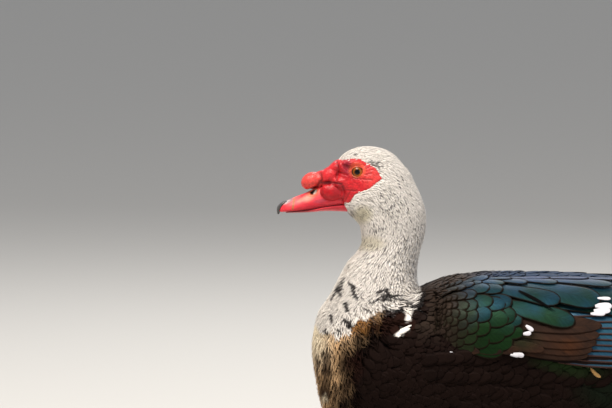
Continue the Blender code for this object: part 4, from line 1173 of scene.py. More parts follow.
SCALE_ROWS = [  # right edge of the row as seen, how many, top and low ends, length, half width
    (436, 10, 288, 330, 12, 3.9), (441, 11, 285, 334, 13, 4.2), (446, 11, 283, 338, 14, 4.6),
    (452, 10, 281, 341, 17, 5.3), (459, 9, 281, 342, 20, 6.2), (467, 8, 282, 343, 24, 7.4),
    (477, 7, 283, 344, 28, 8.8), (491, 6, 281, 343, 34, 10.6), (506, 5, 287, 344, 38, 10.8),
    (515, 4, 306, 344, 38, 11.0), (523, 2, 317, 329, 36, 9.0),
]


starts, ends, halves, heights = [], [], [], []
chance = np.random.default_rng(46)
for number, (edge, count, top, low, length, half) in enumerate(SCALE_ROWS):
    stagger = (0.25 - 0.5 * (number % 2)) * (low - top) / (count - 1)
    downs = np.linspace(top, low, count) + stagger + chance.uniform(-0.6, 0.6, count)
    edges = edge + 5.0 * np.sin(np.linspace(0.5, 2.6, count)) - 5.0 + chance.uniform(-1.6, 1.6, count)
    ends.append(on_wing(np.stack([edges, downs], 1)))
    starts.append(on_wing(np.stack([edges - length, downs - 0.10 * length], 1)))
    halves.append(np.full(count, half / 1000) * chance.uniform(0.93, 1.07, count))
    heights.append(np.full(count, 0.0004) + 0.00015 * (len(SCALE_ROWS) - number))
starts, ends = np.concatenate(starts), np.concatenate(ends)
starts[:, 0] = np.maximum(starts[:, 0], 0.0002)
# The lowest ones are drawn in, so that the wing's low front corner is round.
rise = np.concatenate(heights) - 0.0022 * clamp((ends[:, 1] - 0.72) / 0.25)
wing_rank(
    "scale_coverts", starts, ends, np.concatenate(halves), gloss_vane, wing_hue, -0.0030, rise, seed=47,
    rim=1.0, vary=0.14, crown=0.10, own=0.4, shape=tapered(0.6, 0.64)
)

# The white feathers of the wing: unpigmented tips of coverts that show between the others. Each is
# listed as a whole feather and built from where it comes out.

WHITE_FEATHERS = [  # root and tip as seen, half width, height over the wing, share of it that is hidden
    ((550, 313), (603, 313.0), 2.7, 0.0, 0.72), ((556, 311), (608.0, 310.0), 3.8, 0.2, 0.68),
    ((560, 304), (609.5, 306.0), 4.4, 0.4, 0.66), ((574, 297), (608.5, 299), 2.5, 0.8, 0.62),
    ((512, 317), (531, 330.5), 2.3, 1.6, 0.62), ((510, 334.5), (529, 332.5), 2.3, 1.5, 0.58),
    ((498, 351), (522, 354.5), 2.5, 2.2, 0.55), ((500, 352.5), (517, 354.8), 1.8, 2.4, 0.5),
    ((440, 351.5), (452.5, 353), 1.5, 1.7, 0.6),
]
WING_WHITE = tone("#C9C6CA")

# White quill feathers: close clean barbs, brighter and a little glossier than the down-soft body white.
white_vane = vane_material("white_wing_feather", 0.7, 0.08, 0.1, linear("#D9D6D0"), gloss=0.2)


start, end, half, height = laid(WHITE_FEATHERS)
hidden = np.array([row[4] for row in WHITE_FEATHERS])
start = start + (end - start) * hidden[:, None]
wing_rank(
    "white_spots", start, end, half, white_vane, plain(WING_WHITE), height - 0.0002, height + 0.0003, seed=48,
    rim=0.2, vary=0.03, shape=tapered(0.5, 0.72)
)

# The feathers that hide the wing's edges: small ones of the shoulder over its front, and long soft ones
# of the flank that lap up over its lower edge. They lie on one smooth cover over body and wing.

CELL = 0.001  # the cover is a grid of heights, this far apart
COVER_CELLS = (320, 160)
COVER_X, COVER_Z = 0.20, 0.30  # the corner that the cover's places are counted from
SHOULDER_EDGE = (421, 408, 433)  # as seen: where the shoulder's feathers begin above and below, and end
LAP_RIGHTS = [415, 515, 535, 552, 575, 590]  # the line above which no flank feather laps, as seen
LAP_DOWNS = [357.5, 358.5, 356.5, 356, 360, 368]
MOSS_PATCH = ((566, 359), (34, 13), 12, 0.8)
CURL = ((COVER_X + 0.001, 0.1145), (COVER_X + 0.011, 0.1235))  # root and tip of the one bent tan feather
MOSS, SAND = tone("#1C2914"), tone("#AC8550")

cover = np.zeros(COVER_CELLS)
body_grid = np.meshgrid(
    np.linspace(0.12, body_length, 1400), np.linspace(0.02, np.pi - 0.02, 700), indexing="ij"
)
wing_grid = np.meshgrid(np.linspace(0.0, 0.30, 700), np.linspace(0.0, 1.0, 260), indexing="ij")
for points in (body_place(*body_grid), wing_surface(1)(*wing_grid)):
    column = np.rint((COVER_X - points[..., 0]) / CELL).astype(int)
    row = np.rint((COVER_Z - points[..., 2]) / CELL).astype(int)
    kept = (column >= 0) & (column < COVER_CELLS[0]) & (row >= 0) & (row < COVER_CELLS[1])
    np.maximum.at(cover, (column[kept], row[kept]), points[..., 1][kept])


def softened(heights, rounds):
    """A grid of heights, each averaged with its neighbours again and again."""
    for _ in range(rounds):
        wide = np.pad(heights, 1, "edge")
        heights = (wide[:-2, 1:-1] + wide[2:, 1:-1] + wide[1:-1, :-2] + wide[1:-1, 2:] + 4 * heights) / 8
    return heights


cover = softened(np.maximum(cover, softened(cover, 60)), 6)


def cover_surface(side):
    """The cover's outside: distance back and distance down from its corner."""

    def place(back, fall):
        back, fall = np.broadcast_arrays(np.asarray(back, float), np.asarray(fall, float))
        column = np.clip(back / CELL, 0, COVER_CELLS[0] - 1.001)
        row = np.clip(fall / CELL, 0, COVER_CELLS[1] - 1.001)
        i, j = column.astype(int), row.astype(int)
        s, t = column - i, row - j
        upper = cover[i, j] * (1 - s) + cover[i + 1, j] * s
        lower = cover[i, j + 1] * (1 - s) + cover[i + 1, j + 1] * s
        out = upper * (1 - t) + lower * t
        return np.stack([COVER_X - back, side * out, COVER_Z - fall], axis=-1)

    return place


def edge_hue(places):
    """Brown-black, a little lighter at the shoulder and mossy green behind."""
    right, down = seen(places)
    colour = mix(FLANK, SCALE_BROWN, 0.8 * clamp((345 - down) / 20))
    return mix(colour, MOSS, blot(right, down, *MOSS_PATCH))


def shoulder_part(places, back, fall):
    """Over the front of the wing, clear of the white lobe."""
    right, down = sighted(places)
    above, below, end = SHOULDER_EDGE
    spread = (right > np.where(down < 324, above, below)) & (right < end + 3 * np.sin(down / 5))
    return spread & (down > 288) & (down < 358)


def lap_part(places, back, fall):
    """Along the low edge of the wing, over the flank."""
    right, down = sighted(places)
    return (right > 415) & (right < 590) & (down < 384) & (down > np.interp(right, LAP_RIGHTS, LAP_DOWNS))


def cover_unwrap(roots):
    """Roots on a flat unwrap of the cover."""
    return 0.02 + 0.96 * roots / (COVER_CELLS[0] * CELL, COVER_CELLS[1] * CELL)


for side, sign in SIDES:
    place = cover_surface(sign)
    for name, wanted, spacing, length, rise, half, seed in (
        ("shoulder_feathers_", shoulder_part, 0.0036, 0.0120, 0.000, 0.0034, 61),
        ("lapping_flank_feathers_", lap_part, 0.0058, 0.0240, 0.004, 0.0068, 62),
    ):
        chance = np.random.default_rng(seed)
        start = scatter(place, ((0.02, 0.30), (0.03, 0.13)), spacing, wanted, seed, 30000)
        lengths = length * chance.uniform(0.85, 1.15, len(start))
        end = start + np.stack([lengths, chance.normal(-rise, 0.0012, len(start))], 1)
        near_wing = clamp(1 - (sighted(place(*start.T))[1] - 358) / 8) * (rise > 0)
        halves = half * chance.uniform(0.9, 1.1, len(start))
        lift = 0.0009 + 0.0016 * near_wing + chance.normal(0, 0.00008, len(start))
        edge = feathers(
            name + side, place, sign, start, end, halves, dark_vane, edge_hue, -0.0034, lift, slope=0.0014,
            crown=0.02, thickness=0.0003, rim=0.4, seed=seed, vary=0.2, unwrap=cover_unwrap,
        )
        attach(edge, "root")
    start, end = (np.array([mark]) for mark in CURL)
    curl = feathers(
        "tan_flank_feather_" + side, place, sign, start, end, np.array([0.0021]), white_feather, plain(SAND),
        0.0012, 0.0026, rim=0.8, seed=63, bend=0.0016, unwrap=cover_unwrap,
    )
    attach(curl, "root")

# The tail: a short fan of stiff quills set in a fleshy root on the last bone of the back, with ranks
# of coverts above and below that hide their roots.

TAIL_START = 0.196
FLESH_START, FLESH_END = 0.183, 0.233  # how far back the tail's fleshy root begins and ends
TAIL_CORE = [  # x, z, half width, half height of the fleshy root
    (-0.1830, 0.2160, 0.0330, 0.0220), (-0.2030, 0.2155, 0.0310, 0.0155),
    (-0.2200, 0.2140, 0.0280, 0.0085), (-0.2330, 0.2130, 0.0230, 0.0030),
]
TAIL_LEVEL, TAIL_DROOP, TAIL_ARCH = 0.2150, 0.066, 4.5 * 0.6 / 0.11  # its root's height, fall and curve
TAIL_QUILLS = 16
FAN_STEP = 2.55  # degrees between one quill and the next
QUILL_REACH, QUILL_HALF = 0.1125, 0.0135  # the middle quill's length, and half a quill's width
TAIL_END = 0.1128
COVERT_RANKS, COVERT_FILES = 9, 9
RANK_PITCH, FILE_PITCH = 0.0070, 0.0076
COVERT_LENGTHS, COVERT_HALF = (0.032, 0.039), 0.0078
tail_core = np.array(TAIL_CORE)


def flesh_row(back):
    """Height, half width and half height of the tail's fleshy root at a distance back."""
    return hermite(-tail_core[:, 0], tail_core[:, 1:], back)


def tail_plane(along, across):
    """The tail's upper side: distance back from its root and to the side."""
    along, across = np.broadcast_arrays(along, across)
    height = TAIL_LEVEL - TAIL_DROOP * along - TAIL_ARCH * across**2 * along
    return np.stack([-TAIL_START - along, across, height], axis=-1)


def covert_place(level):
    """The outside of rump and tail, above or below: distance back from the tail's root and to the side."""

    def place(along, across):
        along, across = np.broadcast_arrays(np.asarray(along, float), np.asarray(across, float))
        row = flesh_row(np.clip(along + TAIL_START, FLESH_START, FLESH_END))
        bow = np.cos(clamp(np.abs(across) / (row[..., 1] + 0.010)) * np.pi / 2)
        hump = row[..., 0] + level * ((row[..., 2] + 0.003) * bow - 0.35 * np.clip(along - 0.026, 0, None))
        clear = 0.0010 + 0.0030 * clamp(1 - (across / 0.045) ** 2) if level > 0 else -0.0040
        flat = tail_plane(along, across)[..., 2] + clear
        return np.stack(
            [-TAIL_START - along, across, level * np.maximum(level * hump, level * flat)], axis=-1
        )

    return place


def tail_hue(places):
    """Green-blue above, brown-black below and at the rims."""
    shade = clamp((places[..., 2] - 0.200) / 0.02)
    back = 1.4 - 0.9 * clamp((places[..., 0] + 0.235) / 0.03)
    sheen = mix(GREEN, BLUE, 0.25)
    return mix(FLANK, sheen, 0.55 * shade * back)


def tail_unwrap(roots):
    """Roots on a flat unwrap of the tail."""
    return np.stack([0.5 + roots[:, 1] * 6, 0.1 + roots[:, 0] * 7], axis=1)


def covert_unwrap(level):
    """The same for coverts, those above in one half of it and those below in the other."""
    return lambda roots: tail_unwrap(roots) * (0.5, 0.5) + (0.25 * (1 - level), 0.25)


lengths = np.linspace(FLESH_START, FLESH_END, 24)
rows = flesh_row(lengths)
turn = full_turn(48)
rings = np.stack(
    [
        np.broadcast_to(-lengths[:, None], (24, 48)),
        rows[:, 1:2] * np.sin(turn),
        rows[:, 0:1] + rows[:, 2:3] * np.cos(turn),
    ],
    axis=-1,
)
stump = tubes("tail_root", rings[None], skin_material)
paint(stump, body_tint(points_of(stump)))
place_in_fan = np.arange(TAIL_QUILLS) - (TAIL_QUILLS - 1) / 2
angle = np.radians(FAN_STEP) * place_in_fan
reach = QUILL_REACH - 0.00028 * place_in_fan**2
start = np.stack([np.full(TAIL_QUILLS, -0.004), 0.0022 * place_in_fan], 1)
end = start + np.stack([reach * np.cos(angle), reach * np.sin(angle)], 1)
end[:, 0] = np.minimum(end[:, 0], TAIL_END)
stack = 0.0004 * (TAIL_QUILLS / 2 - np.abs(place_in_fan))
fan = feathers(
    "tail_quills", tail_plane, 1, start, end, np.full(TAIL_QUILLS, QUILL_HALF), gloss_vane, tail_hue,
    stack - 0.001, stack, seed=51, unwrap=tail_unwrap, patch=QUILL_PATCH, section=BROAD_VANE,
    steps=QUILL_STEPS, rim=0.8, crown=0.08
)
held = [stump, fan]
rank, file = np.meshgrid(np.arange(COVERT_RANKS), np.arange(COVERT_FILES), indexing="ij")
aside = file - (COVERT_FILES - 1) / 2 + 0.5 * (rank % 2)
sites = np.stack([-0.014 + RANK_PITCH * rank, FILE_PITCH * aside], axis=-1).reshape(-1, 2)
sites = sites[np.abs(sites[:, 1]) < 0.032]
for name, seed, level, finish in (
    ("upper_tail_coverts", 52, 1, gloss_vane), ("under_tail_coverts", 53, -1, dark_vane)
):
    chance = np.random.default_rng(seed)
    start = sites + chance.normal(0, 0.0005, sites.shape)
    lengths = chance.uniform(*COVERT_LENGTHS, len(start))
    end = start * (1, 1.14) + np.stack([lengths, np.zeros(len(start))], 1)
    tucked = np.clip(0.004 - start[:, 0], 0, 0.018)
    held.append(
        feathers(
            name, covert_place(level), level, start, end, np.full(len(start), COVERT_HALF), finish, tail_hue,
            -0.0016 - 0.07 * tucked, 0.0004, seed=seed, slope=0.0018, crown=0.05, rim=0.9, vary=0.15, own=0.3,
            thickness=0.0003, unwrap=covert_unwrap(level),
        )
    )
for piece in held:
    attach(piece, "root")
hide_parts("tail")

# The bare face: thick red skin over the cheeks, swollen into caruncles (a knob on the bill's base,
# bulbs behind and below it, a band under the eye), creased where they meet and pebbled with papillae.

# Centre x, y, z; half along, across, up; tilt towards the tail; both sides where y isn't 0.
CARUNCLES = [
    (0.2757, 0.0, 0.3652, 0.0108, 0.0100, 0.0084, 28),
    (0.2660, 0.0, 0.3668, 0.0110, 0.0090, 0.0085, 30),
    (0.2578, 0.0056, 0.3702, 0.0118, 0.0088, 0.0082, 38),
    (0.2515, 0.0046, 0.3790, 0.0108, 0.0080, 0.0052, 40),
    (0.2430, 0.0105, 0.3790, 0.0078, 0.0056, 0.0078, 30),
    (0.2552, 0.0102, 0.3543, 0.0122, 0.0074, 0.0090, -10),
    (0.2405, 0.0130, 0.3515, 0.0064, 0.0058, 0.0070, -30),
    (0.2420, 0.0148, 0.3632, 0.0116, 0.0052, 0.0066, -12),
    (0.2250, 0.0195, 0.3638, 0.0105, 0.0034, 0.0052, -4),
    (0.2330, 0.0160, 0.3838, 0.0110, 0.0044, 0.0034, -2),
    (0.2470, 0.0095, 0.3640, 0.0120, 0.0070, 0.0080, 10),
]
EYE_RADIUS = 0.0070
EYE_AXIS = (0.06, 0.995, 0.08)  # where the left eye looks
ORBIT_HALVES, ORBIT_RADIUS = (0.0068, 0.0062), 0.0017  # the ring of skin round the eye, along and up
FACE_GRAIN = 0.00062  # the spacing of the face's mesh
CREASE_UNIT = 0.00125  # how deep a crease of strength one is


def oval_rings(centre, halves, tilt, steps=28, sides=36):
    """Rings of an oval lump, its long way tilted up towards the tail."""
    turn = math.radians(tilt)
    bend = np.array(((math.cos(turn), 0, -math.sin(turn)), (0, 1, 0), (math.sin(turn), 0, math.cos(turn))))
    rise = np.linspace(0.02, math.pi - 0.02, steps)[:, None]
    spin = full_turn(sides)
    ball = np.stack(
        [
            np.broadcast_to(np.cos(rise), (steps, sides)) * halves[0],
            np.sin(rise) * np.cos(spin) * halves[1],
            np.sin(rise) * np.sin(spin) * halves[2],
        ],
        axis=-1,
    )
    return np.array(centre) + ball @ bend


def eye_frame(side):
    """The middle of an eye, where it looks, and the ways forward and up across it."""
    low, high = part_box("eye_" + ("left" if side > 0 else "right"))
    axis = unit(np.array(EYE_AXIS) * (1, side, 1))
    forward = unit(np.cross(np.cross(axis, (1.0, 0.0, 0.0)), axis))
    return (np.array(low) + np.array(high)) / 2, axis, forward, np.cross(axis, forward) * -side


def around_eye(side, swing, reach):
    """Points round an eye on its ball, at an angle round it and at a reach from its middle along and up."""
    centre, axis, forward, up = eye_frame(side)
    across = np.cos(swing)[:, None] * forward * reach[0] + np.sin(swing)[:, None] * up * reach[1]
    width = np.linalg.norm(across, axis=1, keepdims=True)
    return centre + across + axis * np.sqrt(np.maximum(EYE_RADIUS**2 - width**2, 1e-9))


def ring_tube(line, radii, sides=12):
    """Rings of a tube round a closed line; its ends meet inside each other."""
    line = np.asarray(line)
    ahead = unit(np.roll(line, -1, 0) - np.roll(line, 1, 0))
    aside = unit(np.cross(ahead, line - line.mean(0)))
    above = np.cross(ahead, aside)
    turn = full_turn(sides)
    spokes = aside[:, None] * np.cos(turn)[:, None] + above[:, None] * np.sin(turn)[:, None]
    rings = line[:, None] + spokes * np.asarray(radii)[:, None, None]
    return np.concatenate([rings, rings[:1]])


face_material, tree, shader = blank(
    "bare_red_caruncle_skin", Roughness=0.35, Specular_IOR_Level=0.3, Subsurface_Weight=0.05,
    Subsurface_Radius=(1.0, 0.3, 0.2), Subsurface_Scale=0.0015
)
# Blood-filled bare skin: soft gloss, light carried a little way through it, and papillae about 1.2 mm
# across over coarser 3 mm lumps, which give the pebbled look.
coords = own_places(tree)
fine = add(tree, "ShaderNodeTexVoronoi", {"feature": "SMOOTH_F1"}, Vector=coords, Scale=820.0, Smoothness=0.4)
coarse = add(tree, "ShaderNodeTexNoise", Vector=coords, Scale=330.0, Detail=3.0)
lumps = add(
    tree, "ShaderNodeMath", {"operation": "MULTIPLY_ADD"}, i0=fine.outputs["Distance"], i1=-0.6,
    i2=coarse.outputs["Fac"]
)
relief(tree, shader, lumps.outputs[0], 0.55, 0.0008)
dots = add(
    tree, "ShaderNodeMapRange", Value=fine.outputs["Distance"], From_Min=0.2, From_Max=0.75, To_Min=1.06,
    To_Max=0.86
)
patches = add(
    tree, "ShaderNodeMapRange", Value=coarse.outputs["Fac"], From_Min=0.3, From_Max=0.7, To_Min=0.80,
    To_Max=1.14
)
dappled = add(tree, "ShaderNodeMath", {"operation": "MULTIPLY"}, i0=dots.outputs[0], i1=patches.outputs[0])
spotted = add(tree, "ShaderNodeMix", DARKEN, i0=1.0, i6=painted_tint(tree), i7=dappled.outputs[0])
tree.links.new(spotted.outputs[2], shader.inputs["Base Color"])

near, round_head = np.meshgrid(
    np.linspace(0.0, 0.094, 90), full_turn(120), indexing="ij"
)
head_points, head_out, _ = surface_frame(body_place, near, round_head)
mask = tubes("face", (head_points - head_out * 0.0002)[None], face_material)
prism_points = [(x, y, z) for y in (-0.05, 0.05) for x, z in FACE_EDGE]
corners = len(FACE_EDGE)
prism_faces = [tuple(range(corners)), tuple(reversed(range(corners, 2 * corners)))]
prism_faces += [(k, k + corners, (k + 1) % corners + corners, (k + 1) % corners) for k in range(corners)]
prism_mesh = bpy.data.meshes.new("prism")
prism_mesh.from_pydata(prism_points, [], prism_faces)
prism_mesh.materials.append(face_material)
turned = bmesh.new()
turned.from_mesh(prism_mesh)
bmesh.ops.recalc_face_normals(turned, faces=turned.faces)
turned.to_mesh(prism_mesh)
turned.free()
prism = bpy.data.objects.new("prism", prism_mesh)
bpy.context.scene.collection.objects.link(prism)
cut = mask.modifiers.new("edge", "BOOLEAN")
cut.operation, cut.solver, cut.object = "INTERSECT", "MANIFOLD", prism
settle(mask)
bpy.data.objects.remove(prism)
lumps_held = [mask]
for x, y, z, along, across, up, tilt in CARUNCLES:
    for side in (1, -1) if y else (1,):
        lump = oval_rings((x, y * side, z), (along, across, up), tilt)
        lumps_held.append(tubes("lump", lump[None], face_material))
swing = full_turn(48)
for side in (1, -1):
    ring = around_eye(side, swing, ORBIT_HALVES) - eye_frame(side)[1] * 0.0006
    lumps_held.append(tubes("orbit", ring_tube(ring, np.full(48, ORBIT_RADIUS))[None], face_material))
face = joined("face_skin", lumps_held)
remeshed(face, FACE_GRAIN, 12)

EYE_SEEN = (357, 170)  # the eye's middle as seen, which fine wrinkles run out from
CREASES = [  # lines where folds of the face meet, as seen: start, end, half width, depth
    ((320, 173), (321.5, 180), 1.4, 0.9), ((321.5, 180), (317, 187), 1.4, 1.1),
    ((317, 187), (308, 191), 1.3, 0.9), ((321, 183), (331, 182.6), 1.5, 1.1),
    ((331, 182.6), (341, 184.5), 1.5, 1.0), ((341, 184.5), (344.5, 192), 1.6, 0.7),
    ((344.5, 192), (342, 200), 1.6, 0.7), ((342, 200), (334, 203), 1.5, 0.8),
    ((321, 184), (322.5, 198), 1.2, 0.4), ((336, 160), (338.5, 170), 1.1, 0.75),
    ((338.5, 170), (336, 180), 1.1, 0.75), ((338, 172), (347, 175), 1.0, 0.7),
    ((344, 190), (356, 191), 1.0, 0.55), ((352, 178), (372, 180), 0.9, 0.35),
    ((350, 192), (346, 199), 0.8, 0.4), ((341, 162), (344, 169), 0.7, 0.4),
    ((345, 161), (347, 167), 0.6, 0.35), ((349, 160), (350, 164), 0.6, 0.3),
]
CORAL, CRIMSON, CREASE_SHADE, BRIGHT = tone("#C42127"), tone("#AC0E19"), tone("#520C14"), tone("#DA463F")
PURPLE_HOLLOW_SHADE, ORANGE = tone("#8C2438"), tone("#E8663E")
# The purple patch before the eye is painted shade where the bulb meets the eye's front.
FACE_PATCHES = [  # colour and share of each patch, then as seen: middle, half sizes, softness
    (CRIMSON, 1.0, (333, 192), (12, 10), 0.9), (BRIGHT, 1.0, (310, 180), (11, 11), 0.8),
    (CRIMSON, 0.7, (345, 168), (9, 10), 0.9), (PURPLE_HOLLOW_SHADE, 0.65, (347, 167), (4, 8), 0.9),
    (BRIGHT, 0.6, (372, 178), (9, 9), 0.9), (ORANGE, 0.5, EYE_SEEN, (8.6, 7.8), 0.3),
]


def crease_depth(places):
    """How strongly the face is creased at each place: one in a fold, and a little over all of it."""
    right, down = seen(places)
    depth = np.zeros(right.shape)
    for start, end, width, cut in CREASES:
        line = np.subtract(end, start)
        share = clamp(((right - start[0]) * line[0] + (down - start[1]) * line[1]) / (line @ line))
        away = np.hypot(right - start[0] - share * line[0], down - start[1] - share * line[1])
        depth = np.maximum(depth, cut * np.exp(-((away / width) ** 2)))
    x, y = right - EYE_SEEN[0], down - EYE_SEEN[1]
    out, swing = np.hypot(x, y * 1.1), np.arctan2(y, x)
    spokes = np.maximum(np.sin(swing * 17 + 1.8 * np.sin(out / 1.9) + 2 * np.sin(swing * 5)), 0)
    spokes = spokes * np.exp(-(((out - 13) / 5) ** 2))
    rings = np.maximum(np.sin(out * 2.3), 0) * np.exp(-(((out - 10) / 2.4) ** 2))
    level = np.sin(places[..., 2] * 3300 + 1.5 * np.sin(places[..., 0] * 900))
    pebbles = np.sin(places[..., 0] * 3100) * level * np.sin(places[..., 1] * 2900)
    return depth + (0.26 * spokes + 0.26 * rings) * (np.abs(places[..., 1]) > 0.006) + 0.10 * pebbles


held = points_of(face)
normals = np.zeros(len(held) * 3, np.float32)
face.data.vertices.foreach_get("normal", normals)
normals = normals.reshape(-1, 3).astype(float)
depth = crease_depth(held)
creased = held - normals * depth[:, None] * CREASE_UNIT
face.data.vertices.foreach_set("co", creased.astype(np.float32).ravel())
face.data.update()
right, down = seen(held)
colour = CORAL
for shade, share, middle, size, edge in FACE_PATCHES:
    colour = mix(colour, shade, share * blot(right, down, middle, size, 0, edge))
# The folds, wrinkles and pebbles are darkened by their depth: painted shade in the creases.
colour = mix(colour, CREASE_SHADE, np.clip(depth * 0.70, 0, 0.80))
paint(face, colour)
# The bird's own skin is red too where it lies under the bare face.
places = points_of(skin)
bare = inside(places[:, 0], places[:, 2], FACE_EDGE)
paint(skin, np.where(bare[:, None], CRIMSON, body_tint(places)))
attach(face, "root")
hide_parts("face")

# The eyes: wet balls with a brown iris, a black pupil and a clear cornea over them, each between
# two lids whose bare rims are orange-yellow.

LID_HALVES = (0.0063, 0.0054)  # half the opening between the lids, along and up
EYE_BANDS = [  # how far out from the middle of the iris, in millimetres, and the colour there
    (0.0, "#030202"), (2.05, "#040303"), (2.35, "#1C1006"), (2.9, "#6A340A"), (3.8, "#9A5210"),
    (4.5, "#86440C"), (5.1, "#2A1608"), (5.6, "#0C0604"), (7.0, "#0A0504"),
]
LID_ORANGE, LID_RED = tone("#C65C30"), tone("#B42C22")

eye_material, tree, shader = blank(
    "wet_cornea_over_brown_iris", Roughness=0.25, Specular_IOR_Level=0.1, Coat_Weight=0.25,
    Coat_Roughness=0.02
)
# A clear wet cornea gives one sharp highlight; the iris has radial fibres about 0.5 mm apart.
coords = own_places(tree)
fibres = add(tree, "ShaderNodeTexNoise", Vector=coords, Scale=1500.0, Detail=2.0)
shade = add(tree, "ShaderNodeMapRange", Value=fibres.outputs["Fac"], To_Min=0.6, To_Max=1.4)
iris = add(tree, "ShaderNodeMix", DARKEN, i0=1.0, i6=painted_tint(tree), i7=shade.outputs[0])
tree.links.new(iris.outputs[2], shader.inputs["Base Color"])

lid_material, tree, shader = blank("moist_lid_rim", Roughness=0.35)
# Thin bare rim skin: finely beaded every 0.8 mm and a little shiny.
coords = own_places(tree)
beads = add(tree, "ShaderNodeTexVoronoi", Vector=coords, Scale=1200.0)
tree.links.new(painted_tint(tree), shader.inputs["Base Color"])
relief(tree, shader, beads.outputs["Distance"], 0.4, 0.0003)

for name, side in SIDES:
    centre, axis, forward, up = eye_frame(side)
    rise = np.concatenate([np.linspace(0.01, 1.2, 40), np.linspace(1.25, math.pi - 0.02, 20)])
    spin = full_turn(48)
    spoke = forward * np.cos(spin)[:, None] + up * np.sin(spin)[:, None]
    ball = centre + EYE_RADIUS * (axis * np.cos(rise)[:, None, None] + spoke * np.sin(rise)[:, None, None])
    out = EYE_RADIUS * 1000 * np.sin(np.minimum(rise, math.pi / 2))
    bands = np.array([tone(code) for _, code in EYE_BANDS])
    hue = np.stack([np.interp(out, [b[0] for b in EYE_BANDS], bands[:, c]) for c in range(3)], axis=1)
    # Painted light and shade on the iris: brighter towards the back and below, darker in front and above.
    painted_iris_light = clamp(-np.sin(spin) * 0.6 - np.cos(spin) * 0.5)
    hue = hue[:, None] * (0.75 + 0.9 * painted_iris_light[None, :, None])
    eye = tubes("eyeball_" + name, ball[None], eye_material, values={"Tint": hue[None]})
    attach(eye, "root")
    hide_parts("eye_" + name)
    swing = full_turn(72)
    rim_line = around_eye(side, swing, LID_HALVES) + axis * 0.00025
    width = 0.00070 + 0.00018 * np.sin(swing * 9 + 0.5) * np.sin(swing * 4)
    rings = ring_tube(rim_line, width, 14)
    redder = 0.5 + 0.3 * np.cos(swing[np.r_[0:72, 0]] * 3)[:, None]
    rim_hue = mix(LID_ORANGE, LID_RED, np.broadcast_to(redder, rings.shape[:2]))
    lid = tubes("lid_" + name, rings[None], lid_material, values={"Tint": rim_hue[None]})
    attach(lid, "root")

# The bill: two bony halves in soft horn, pink-red and mottled, the upper one pierced by nostrils near
# its base. They are moulded as lofts through a few sections and meet along the mouth line.

UPPER_BILL = [  # culmen x, z, mouth x, z, half width
    (0.2490, 0.3720, 0.2400, 0.3420, 0.0118), (0.2620, 0.3635, 0.2540, 0.3402, 0.0126),
    (0.2750, 0.3565, 0.2690, 0.3380, 0.0122), (0.2830, 0.3527, 0.2800, 0.3362, 0.0119),
    (0.2930, 0.3487, 0.2910, 0.3352, 0.0120), (0.3005, 0.3452, 0.3000, 0.3345, 0.0106),
    (0.3050, 0.3422, 0.3055, 0.3342, 0.0072), (0.3068, 0.3398, 0.3075, 0.3348, 0.0034),
]
LOWER_BILL = [
    (0.2370, 0.3422, 0.2360, 0.3342, 0.0112), (0.2470, 0.3419, 0.2460, 0.3347, 0.0122),
    (0.2620, 0.3398, 0.2620, 0.3350, 0.0121), (0.2790, 0.3362, 0.2790, 0.3337, 0.0113),
    (0.2930, 0.3350, 0.2930, 0.3334, 0.0106), (0.3010, 0.3342, 0.3010, 0.3332, 0.0070),
]
NOSTRIL = ((0.2735, 0.3546), (0.0042, 0.0027), 28, 0.0017)  # middle, half sizes, tilt, depth


def bill_rings(table, level, steps, sides):
    """Rings along a half of the bill, widest below or above their middle."""
    table = np.array(table)
    knots = np.arange(len(table), dtype=float)
    row = hermite(knots, table, np.linspace(0, len(table) - 1, steps))
    turn = full_turn(sides)
    up = np.cos(turn) + level * (1 - np.cos(turn) ** 2)
    middle, rise = (row[:, 0:2] + row[:, 2:4]) / 2, (row[:, 0:2] - row[:, 2:4]) / 2
    flat = middle[:, None] + rise[:, None] * up[:, None]
    return np.stack([flat[..., 0], row[:, 4:5] * np.sin(turn), flat[..., 1]], axis=-1)


BILL_PINK, BILL_PALE = tone("#CF323C"), tone("#DE6E6C")
LOWER_RED, LOWER_OVERHANG_SHADE = tone("#C42C38"), tone("#7A2026")
PIT_SHADOW_BLACK, PIT_LIGHT_SEEN_THROUGH = tone("#050404"), tone("#E2D6C8")
BAND_BROWN, TIP_TINT, FLECK_PALE = tone("#8A6A34"), tone("#7C7478"), tone("#CFC8C6")
MOUTH_STAIN, RIM_ORANGE, DOT_YELLOW = tone("#3A0E12"), tone("#CC6A3C"), tone("#E8C05A")
BILL_PATCHES = [  # colour and share of each patch, then as seen: middle, half sizes, tilt, softness
    (tone("#B8202E"), 1.0, (314, 206), (14, 3.5), -8, 0.8),
    (tone("#8A3A48"), 0.6, (320, 201), (6, 2.2), -8, 0.7),
    (tone("#CDA888"), 0.45, (308.5, 197.5), (5.5, 3.4), -30, 0.9),
    (tone("#E39A70"), 0.3, (301, 200), (4, 1.8), -30, 0.8),
]
BILL_BAND = ((294.3, 199), (292.6, 209), 0.9)  # a brown line across it: start, end, half width
TIP_GREY = ((288.5, 201), (5.2, 1.8), -28, 0.6)
TIP_FLECKS = ((286.0, 202.0), (4.2, 1.9), -30, 0.7)
MOUTH_FLECKS = ((331, 206.5), (15, 2.8), -6, 0.5)
NOSTRIL_ORANGE = ((313.6, 192.6), (6.0, 4.0), -25, 0.4)
YELLOW_DOTS = (((332, 199), (2.2, 1.2)), ((325, 196.5), (1.6, 1.0)))


